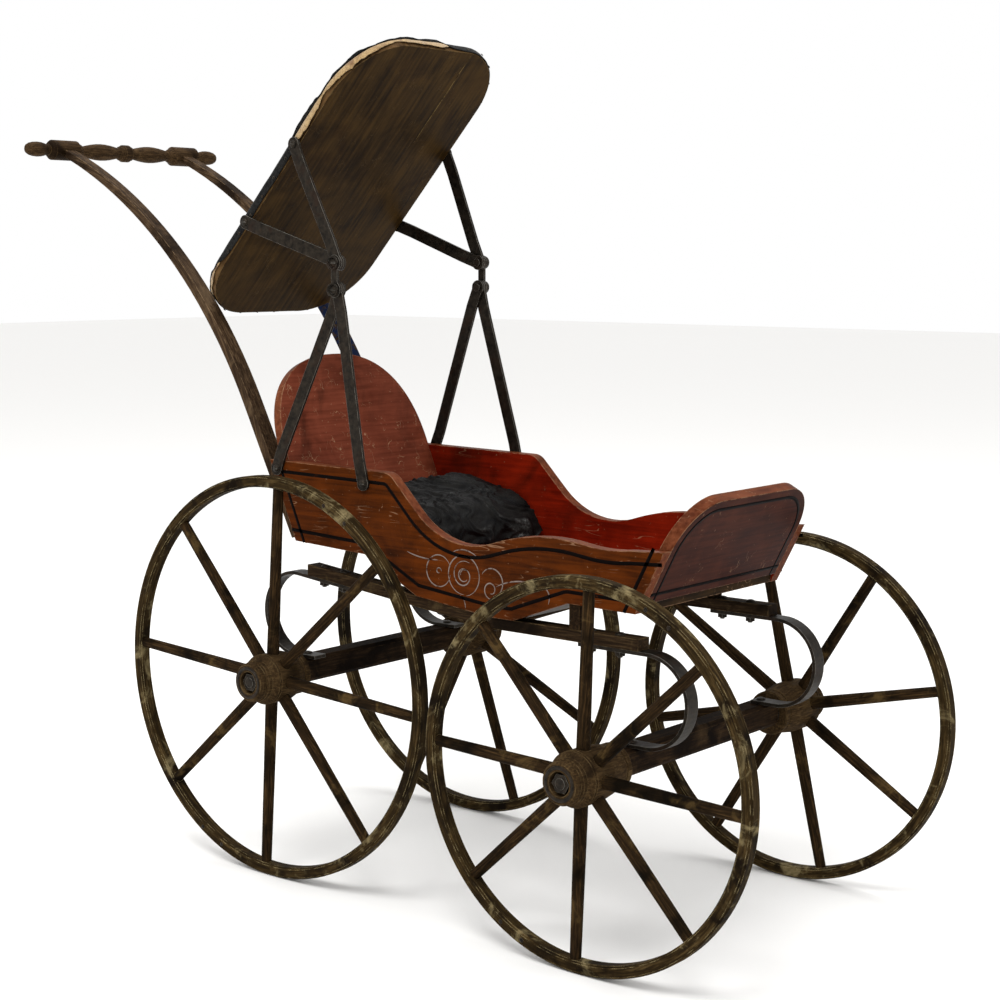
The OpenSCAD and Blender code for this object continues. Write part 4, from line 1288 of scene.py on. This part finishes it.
@dataclass
class Seat:
    """The seat's cushion and the stiff, crumpled oilcloth thrown over it.

    The line of the cloth is given by points from its box: a reach from the rear top edge for the
    first four and from the front top edge for the last ones, and a depth below the top.
    """

    rear_line: tuple[tuple[float, float], ...] = ((-1.0, 10.0), (12.0, 6.5), (30.0, 4.0), (55.0, 8.0))
    front_line: tuple[tuple[float, float], ...] = ((-32.0, 15.0), (-17.0, 19.5), (-9.0, 28.0),
                                                   (-3.0, 39.0))
    cut_width: float = 0.18
    cut_length: float = 0.155
    fold_height: float = 7.0 * MM
    peak_height: float = 3.0 * MM
    sunk_depth: float = 4.5 * MM
    hem_wave: float = 5.0 * MM
    thickness: float = 0.9 * MM
    rows: int = 230
    columns: int = 230
    smoothing: int = 36

    def build(self, oilcloth: bpy.types.Material) -> None:
        """Makes the cushion and the cloth.

        Args:
            oilcloth: The cloth's material.
        """
        self.cushion(oilcloth)
        self.cloth(oilcloth)

    def cushion(self, oilcloth: bpy.types.Material) -> None:
        """A stuffed pad: a superellipsoid flattened below, its sides drawn in between corners.

        With t running from foot to crown and a round the pad, the half width is
        |cos t|^0.35 times the superellipse |cos a|^0.4, |sin a|^0.4, and the height is
        sign(sin t) |sin t|^0.8, cut off at the foot.

        Args:
            oilcloth: The cushion's material.
        """
        low, high = (np.array(p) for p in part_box("seat_cushion"))
        half, middle = (high - low) / 2, (low + high) / 2
        t = np.linspace(-0.47 * math.pi, 0.49 * math.pi, 40)[:, None]
        a = np.linspace(0, TAU, 120, endpoint=False)[None, :]
        spread = np.abs(np.cos(t)) ** 0.35 * (1.0 - 0.035 * (1.0 - np.cos(4 * a)) / 2)
        height = np.maximum(np.sign(np.sin(t)) * np.abs(np.sin(t)) ** 0.8, -0.85)
        points = np.stack([
            middle[0] + half[0] * spread * np.sign(np.cos(a)) * np.abs(np.cos(a)) ** 0.4,
            middle[1] + half[1] * spread * np.sign(np.sin(a)) * np.abs(np.sin(a)) ** 0.4,
            middle[2] + half[2] * height + 0.0 * a], -1)
        pad = surface("seat_pad", points, wrap_columns=True, close_first=True, close_last=True)
        add_value(pad, "fold", np.zeros(points.shape[:2]))
        finish(pad, oilcloth, "carriage")
        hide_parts("seat_cushion")

    def cloth(self, oilcloth: bpy.types.Material) -> None:
        """The crumpled cloth: a stiff heap that is highest at the left rear and falls forwards.

        The sheet's run from the rear to its front hem is a smooth line near nine points; its right
        rear part lies lower. Its folds are three layers of ridges, (1 - |noise|) raised to a power
        of about 3, on coordinates that larger noise has bent, drawn out towards the front; they
        stand along the sheet's normal, and their crests carry "fold".

        Args:
            oilcloth: The cloth's material.
        """
        low, high = (np.array(p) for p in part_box("seat_cloth"))
        top, hem = high[2], low[2]
        run = np.array([[low[0] + x * MM, top - z * MM] for x, z in self.rear_line]
                       + [[high[0] + x * MM, top - z * MM] for x, z in self.front_line]
                       + [[high[0] - 1.5 * MM, hem - 1.0 * MM]])
        run = smoothed(resample(run, self.rows), self.smoothing)
        normal = side_normals(run)
        u, v = np.meshgrid(np.linspace(0, 1, self.rows), np.linspace(-1, 1, self.columns),
                           indexing="ij")
        x, y = u * 5.3, v * 2.4
        bent_x = x + 1.5 * layered_noise(x * 0.4, y * 0.4, 11)
        bent_y = y + 1.5 * layered_noise(x * 0.4 + 9, y * 0.4, 12)
        ridges = (1 - np.abs(value_noise(bent_x * 0.45, bent_y * 1.5, 21))) ** 3.5
        middle = (1 - np.abs(value_noise(bent_x * 1.1 + 5, bent_y * 2.6, 22))) ** 3.0
        small = (1 - np.abs(value_noise(bent_x * 3.1 + 3, bent_y * 5.0, 23))) ** 2.5
        swell = 0.5 + 0.5 * layered_noise(x * 0.5, y * 0.5, 31, 2)
        folds = 0.62 * ridges * (0.4 + 0.8 * swell) + 0.3 * middle + 0.12 * small
        peak = np.exp(-(((v - 0.8) / 0.35) ** 2 + ((u - 0.22) / 0.16) ** 2))
        sunk = smooth_step(0.35, -0.7, v) * smooth_step(0.75, 0.2, u)
        lift = self.fold_height * folds + self.peak_height * peak - self.sunk_depth * sunk
        lift = np.maximum(lift, -2.5 * MM)
        half = (high[1] - low[1]) / 2 * (0.985 + 0.02 * value_noise(u * 9, 0 * v, 41))
        width = half * (1.0 - 0.1 * smooth_step(0.8, 1.0, u) * (v < 0))
        points = np.stack([run[:, None, 0] + lift * normal[:, None, 0],
                           v * width + 0.0 * u,
                           run[:, None, 1] + lift * normal[:, None, 1]], -1)
        points[..., 2] += smooth_step(0.9, 1.0, u) * self.hem_wave * value_noise(0 * u, v * 5, 42)
        cloth = surface("crumpled_seat_cloth", points)
        # the oilcloth greys these crests: partly rubbed wear, partly a painted highlight on the fold
        # tops
        crest = smooth_step(0.3, 0.85, folds) * (0.65 + 0.35 * layered_noise(x * 3, y * 3, 51))
        add_value(cloth, "fold", crest)
        solidify = cloth.modifiers.new("thickness", "SOLIDIFY")
        solidify.thickness, solidify.offset = self.thickness, 1.0
        finish(cloth, oilcloth, "carriage")
        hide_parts("seat_cloth")


@dataclass
class Handle:
    """The push handle: bent shafts, turned grip, battens and screws.

    The shafts' fibres run round the middle of their bend, given from their lowest rear corner.
    """

    bend_behind: float = 60.0 * MM
    bend_above: float = 20.0 * MM

    def build(self, iron: bpy.types.Material) -> None:
        """Dresses the handle.

        Args:
            iron: The screws' material.
        """
        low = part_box("right_shaft")[0]
        centre = (low[0] - self.bend_behind, 0.0, low[2] + self.bend_above)
        shaft = OldWood("bent_hickory_shafts", "1c130c", "3e2f21", "66523c", "8c7457", Grain.RING,
                        centre, fibre_mm=1.5, roughness=0.52)
        grip = OldWood("turned_maple_grip", "1a1109", "3a2b1b", "56422b", "785f3e", Grain.ACROSS,
                       fibre_mm=1.3, roughness=0.5)
        batten = OldWood("oak_battens", "130c07", "2a1d12", "44331f", "64503a", Grain.ACROSS)
        banded = BandedWood("bent_hickory_with_blue_band", shaft.dark, shaft.middle, shaft.light,
                            shaft.rubbed, Grain.RING, centre, fibre_mm=1.5, roughness=0.52)
        dress(["right_shaft"], shaft.build())
        dress(["left_shaft"], banded.build())
        dress(["handle_grip"], grip.build())
        dress(["handle_cleats"], batten.build())
        dress(["body_screws"], iron)


@dataclass
class Stays:
    """Iron stays and links of the canopy, with a spring ring round each pivot's head."""

    coil_radius: float = 5.3 * MM
    wire: float = 0.65 * MM
    turns: float = 1.7

    def build(self, iron: bpy.types.Material) -> None:
        """Dresses the ironwork and winds the rings.

        Args:
            iron: The stays' material.
        """
        ends = [f"{side}_{end}" for side in ("right", "left") for end in ("rear", "front")]
        dress([f"{end}_stay" for end in ends] + [f"{end}_canopy_stay" for end in ends]
              + ["right_link", "left_link", "lower_pivot_screws", "canopy_screws"], iron)
        places = {joint["name"]: joint["pos_m"] for joint in frame["record"]["behaviour"]["joints"]
                  if "pos_m" in joint}
        low = places["right_link_hinge"]
        high = places["canopy_tilt"]
        for side, outward in (("right", -1.0), ("left", 1.0)):
            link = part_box(f"{side}_link")
            face = outward * max(abs(link[0][1]), abs(link[1][1]))
            self.ring(f"{side}_lower_spring_ring", low, face, outward, "carriage", iron)
            self.ring(f"{side}_upper_spring_ring", high, face, outward, "canopy", iron)

    def ring(self, name: str, pivot: list[float], face: float, outward: float, body: str,
             iron: bpy.types.Material) -> None:
        """A wire wound round a pivot: a circle carried along a helix about the Y axis.

        Args:
            name: Name of the piece.
            pivot: Place of the pivot.
            face: Y of the link's outer face.
            outward: -1 on the right, 1 on the left.
            body: The body that carries it.
            iron: The wire's material.
        """
        t = np.linspace(0, 1, 70)[:, None]
        angle = TAU * self.turns * t
        around = np.linspace(0, TAU, 10, endpoint=False)[None, :]
        out = self.coil_radius + self.wire * np.cos(around)
        depth = self.wire * (1.35 + 2.1 * self.turns * t + np.sin(around))
        points = np.stack([pivot[0] + out * np.cos(angle), face + outward * depth,
                           pivot[2] + out * np.sin(angle)], -1)
        finish(joined(name, [points]), iron, body)


@dataclass
class Canopy:
    """The tilting board with its wadding, torn oilcloth cover, tacks and frayed threads."""

    wadding_crown: float = 2.2 * MM
    cover_rise: float = 3.8 * MM
    cover_thickness: float = 0.8 * MM
    round_count: int = 420
    corner_radius: float = 61.0 * MM
    crown_drop: float = 0.7 * MM
    dent_depth: float = 0.45 * MM
    wave_depth: float = 0.35 * MM
    cut_width: float = 0.224
    cut_length: float = 0.344
    rounded_share: float = 0.955
    tack_spacing: int = 10
    tack_radius: float = 1.5 * MM
    tack_height: float = 0.7 * MM
    thread_count: int = 90
    thread_radius: float = 0.16 * MM
    board: Board = field(init=False)
    rim: np.ndarray = field(init=False)

    def build(self, oilcloth: bpy.types.Material, iron: bpy.types.Material) -> None:
        """Dresses the board and makes what lies on it.

        Args:
            oilcloth: The cover's material.
            iron: The tacks' material.
        """
        self.board = Board.of("canopy_board")
        lean = self.board.lean
        timber = PaintedBoard("aged_canopy_pine", tuple(-self.board.normal), ("1c1206", "3d2c14"),
                              ("2c2012", "4c3a22"), ("231709", "5d452a"), Grain.ALONG, -lean,
                              scratches=0.12, chip="7d6742")
        dress(["canopy_board"], timber.build())
        self.rim = rounded_rectangle(self.board.half[0], self.board.half[1],
                                     self.corner_radius, self.round_count)
        self.wadding()
        self.cover(oilcloth)
        self.tacks(iron)
        self.threads()
        self.crack()

    def torn(self) -> np.ndarray:
        """How far the cover is torn back along the rim, from 0 (whole) to 1 (gone).

        It is gone round the front end's right corner, thinly at the rear end's right corner, and
        in small bites elsewhere, with a ragged edge from fine noise.

        Returns:
            One share for each point of the rim.
        """
        u, v = self.rim[:, 0] / self.board.half[0], self.rim[:, 1] / self.board.half[1]
        front = smooth_step(0.2, 0.32, u) * smooth_step(0.35, -0.1, v)
        corner = 0.8 * np.exp(-((u + 0.74) / 0.13) ** 2) * smooth_step(-0.5, -0.8, v)
        here = np.arange(self.round_count) / self.round_count
        stray = 0.6 * smooth_step(0.62, 0.85, value_noise(here * 23, 0 * here, 61))
        ragged = 0.3 * layered_noise(here * 50, 0 * here, 62)
        torn = np.maximum(np.maximum(front, corner), stray)
        return np.clip(torn + ragged * smooth_step(0.02, 0.3, torn), 0.0, 1.0)

    def wadding(self) -> None:
        """A matted layer: rings shrink from the rim to the middle and close below.

        Its top is crowned, its rim bulges past the board by a lumpy 1 mm, and where the cover is
        torn it hangs a little down the board's edge.
        """
        torn, here = self.torn(), np.arange(self.round_count) / self.round_count
        lumps = layered_noise(here * 70, 0 * here, 71)
        top_of_board = self.board.half[2]
        rows = []
        for share in np.linspace(0.06, 0.985, 30):
            x, y = self.rim[:, 0] * share * 120, self.rim[:, 1] * share * 120
            bumps = 0.3 * MM * value_noise(x, y, 72)
            rise = top_of_board + self.wadding_crown * (1 - share**6 * 0.25) + bumps
            rows.append(self.ring(share, 0.0, rise))
        for step in np.linspace(0, 1, 9):
            turn = step * math.pi
            out = (0.5 + 1.1 * torn + 0.6 * lumps * torn) * MM * math.sin(turn) + 0.1 * MM
            drop = 4.4 * torn * MM * (1 + 0.55 * lumps) * smooth_step(0.2, 0.6, np.array(step))
            half_rise = 0.4 * self.wadding_crown
            rise = top_of_board + half_rise * (1.04 + math.cos(turn)) + 0.1 * MM - drop * math.sin(turn)
            rows.append(self.ring(1.0, out, rise))
        for share in np.linspace(0.97, 0.06, 6):
            rows.append(self.ring(share, 0.0, top_of_board + 0.15 * MM))
        pad = surface("canopy_wadding_layer", np.stack(rows), wrap_columns=True,
                      close_first=True, close_last=True)
        finish(pad, CoarseWadding("coarse_cotton_wadding").build(), "canopy")
        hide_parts("canopy_wadding")

    def ring(self, share: float | np.ndarray, out: float | np.ndarray,
             rise: float | np.ndarray) -> np.ndarray:
        """The board's rim shrunk to a share, moved out along its normals and raised.

        Args:
            share: Share to which the rim shrinks.
            out: Distance moved out.
            rise: Distance along the board's normal from its middle.

        Returns:
            Points (round_count, 3).
        """
        flat = self.rim[:, :2] * np.reshape(share, (-1, 1)) + self.rim[:, 2:] * np.reshape(out, (-1, 1))
        return self.board.place(flat[:, 0], flat[:, 1], np.asarray(rise))

    def cover(self, oilcloth: bpy.types.Material) -> None:
        """The oilcloth: rings over the wadding, round the rim and down the board's edge.

        Where it is torn the last rings stay at the rim and curl up, so that the wadding shows
        below them. Small waves run round the rim and larger dents lie on the top.

        Args:
            oilcloth: The cover's material.
        """
        torn, here = self.torn(), np.arange(self.round_count) / self.round_count
        top = self.board.half[2] + self.cover_rise
        waves = self.wave_depth * value_noise(here * 90, 0 * here, 81)
        rows, folds = [], []
        for share in np.linspace(0.05, 1.0, 46):
            x, y = self.rim[:, 0] * share * 45, self.rim[:, 1] * share * 45
            dents = self.dent_depth * layered_noise(x, y, 82, 3)
            rise = top - self.crown_drop * share**6 + dents * (1 - share**10)
            rows.append(self.ring(share, 0.0, rise + waves * share**8))
            folds.append(0.42 + 0.26 * layered_noise(x * 1.7, y * 1.7, 83, 3))
        bottom = -self.board.half[2] + 1.2 * MM
        for step in np.linspace(0.12, 1.0, 10):
            drop = step * (1.0 - torn)
            out = 1.15 * MM * smooth_step(0.0, 0.3, np.asarray(drop)) + 1.1 * MM * step * torn + waves
            curl = 1.9 * MM * step * torn * (1.0 + 0.6 * layered_noise(here * 45, 0 * here, 84))
            rise = (top - self.crown_drop) * (1 - drop) + bottom * drop + waves + curl
            rows.append(self.ring(1.0, out, rise - 0.25 * MM * step))
            folds.append(np.full(self.round_count, 0.5))
        cover = surface("canopy_oilcloth", np.stack(rows), wrap_columns=True, close_first=True)
        add_value(cover, "fold", np.stack(folds))
        solidify = cover.modifiers.new("thickness", "SOLIDIFY")
        solidify.thickness, solidify.offset = self.cover_thickness, 1.0
        finish(cover, oilcloth, "canopy")
        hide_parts("canopy_cover")

    def tacks(self, iron: bpy.types.Material) -> None:
        """Small tack heads through the cover into the board's edge, where the cover is whole.

        Args:
            iron: The tacks' material.
        """
        torn = self.torn()
        domes = []
        for k in range(0, self.round_count, self.tack_spacing):
            if torn[k] < 0.15:
                out = self.rim[k, 2] * self.board.along + self.rim[k, 3] * np.array([0.0, 1.0, 0.0])
                seat = self.board.place(*(np.array(p) for p in (*self.rim[k, :2], -0.2 * MM)))
                domes.append(dome(seat + 2.1 * MM * out, out, self.tack_radius, self.tack_height))
        finish(joined("canopy_tacks", domes), iron, "canopy")

    def threads(self) -> None:
        """Frayed threads along the tears: thin tubes along bent quadratic curves."""
        rng = np.random.default_rng(91)
        torn = np.flatnonzero(self.torn() > 0.35)
        t = np.linspace(0, 1, 7)[:, None]
        around = np.linspace(0, TAU, 5, endpoint=False)
        across = np.array([0.0, 1.0, 0.0])
        tubes = []
        for k in rng.choice(torn, self.thread_count):
            out = self.rim[k, 2] * self.board.along + self.rim[k, 3] * across
            side = np.cross(out, self.board.normal)
            start = self.board.place(*(np.array(p) for p in (*self.rim[k, :2] * 0.992, 4.4 * MM)))
            length = rng.uniform(3.0, 8.0) * MM
            way = (out * rng.uniform(0.2, 0.7) + side * rng.uniform(-1, 1)
                   + self.board.normal * rng.uniform(-0.3, 0.3))
            bend = side * rng.uniform(-0.5, 0.5) - self.board.normal * rng.uniform(0.1, 0.8)
            path = start + length * (t * way + t**2 * bend)
            thin = self.thread_radius * (1 - 0.7 * t)
            section = (thin[..., None] * (np.cos(around)[None, :, None] * self.board.normal
                                          + np.sin(around)[None, :, None] * side))
            tubes.append(path[:, None, :] + section)
        thread = StripePaint("frayed_cotton_thread", "8d7750", "1b150e", 0.45, 0.6)
        finish(joined("canopy_threads", tubes), thread.build(), "canopy")

    def crack(self) -> None:
        """A long split in the board's underside, drawn as a fine pale line."""
        u = np.linspace(0.35, 0.985, 90) * self.board.half[0]
        v = 0.43 * self.board.half[1] + 0.5 * MM * value_noise(u * 60, 0 * u, 95)
        plane = self.board.centre - self.board.half[2] * self.board.normal
        line = PaintedLine(np.stack([u, v], 1), 0.8 * MM, 0.4)
        grid = line.grid(plane, self.board.along, np.array([0.0, 1.0, 0.0]), self.board.normal)
        split = StripePaint("split_in_canopy_board", "6d5a36", "181007", 0.42, 0.6)
        finish(joined("canopy_board_split", [grid]), split.build(), "canopy")


@dataclass
class Studio:
    """A pale floor, soft light and the camera."""

    position: tuple[float, float, float] = (1.1329, -1.3055, 0.5446)
    azimuth: float = 39.15
    elevation: float = 7.14
    roll: float = 0.13
    lens: float = 69.92
    floor_half: float = 12.0
    floor_below: float = 0.3 * MM
    aim_height: float = 0.35

    def build(self) -> None:
        """Sets the stage."""
        self.camera()
        self.floor()
        self.light("key_light", (0.5, -1.7, 3.0), 1.3, 60.0)
        self.light("top_light", (-0.4, 0.6, 3.0), 1.8, 30.0)
        world = bpy.data.worlds.new("studio")
        world.use_nodes = True
        world.node_tree.nodes["Background"].inputs[0].default_value = (1.0, 1.0, 1.0, 1.0)
        world.node_tree.nodes["Background"].inputs[1].default_value = 1.0
        bpy.context.scene.world = world
        bpy.context.scene.view_settings.view_transform = "Standard"

    def camera(self) -> None:
        """Places the camera by its turn about +Z, its height angle and its roll."""
        turn, rise, roll = (math.radians(a) for a in (self.azimuth, self.elevation, self.roll))
        back = Vector((math.sin(turn) * math.cos(rise), -math.cos(turn) * math.cos(rise),
                       math.sin(rise)))
        right = Vector((math.cos(turn), math.sin(turn), 0.0))
        axes = Matrix((right, back.cross(right), back)).transposed()
        data = bpy.data.cameras.new("camera")
        data.lens, data.sensor_width = self.lens, 36.0
        camera = bpy.data.objects.new("camera", data)
        camera.matrix_world = (Matrix.Translation(self.position) @ axes.to_4x4()
                               @ Matrix.Rotation(roll, 4, "Z"))
        bpy.context.scene.collection.objects.link(camera)
        bpy.context.scene.camera = camera

    def floor(self) -> None:
        """A wide flat floor a hair below the wheels."""
        side = np.linspace(-self.floor_half, self.floor_half, 2)
        x, y = np.meshgrid(side, side, indexing="ij")
        floor = surface("studio_floor", np.stack([x, y, 0.0 * x - self.floor_below], -1))
        shader = Shader("pale_studio_floor")
        shader.connect(shader.surface, {"Base Color": colour("f4f3f1"), "Roughness": 0.9})
        floor.data.materials.append(shader.material)

    def light(self, name: str, place: tuple[float, float, float], size: float,
              power: float) -> None:
        """Adds a soft square light that looks at the carriage's middle.

        Args:
            name: Name of the light.
            place: Where it stands.
            size: Length of its side.
            power: Its power in watts.
        """
        data = bpy.data.lights.new(name, "AREA")
        data.size, data.energy = size, power
        light = bpy.data.objects.new(name, data)
        light.location = place
        aim = Vector(place) - Vector((0.0, 0.0, self.aim_height))
        light.rotation_euler = aim.to_track_quat("Z", "Y").to_euler()
        bpy.context.scene.collection.objects.link(light)


def main() -> None:
    """Builds the carriage's looks in order."""
    logging.basicConfig(level=logging.INFO, format="%(message)s")
    iron = WroughtIron("forged_iron").build()
    oilcloth = Oilcloth("cracked_oilcloth").build()
    Studio().build()
    Wheels().build(iron)
    RunningGear().build(iron)
    Body().build()
    Seat().build(oilcloth)
    Handle().build(iron)
    Stays().build(iron)
    Canopy().build(oilcloth, iron)


if __name__ == "__main__":
    main()
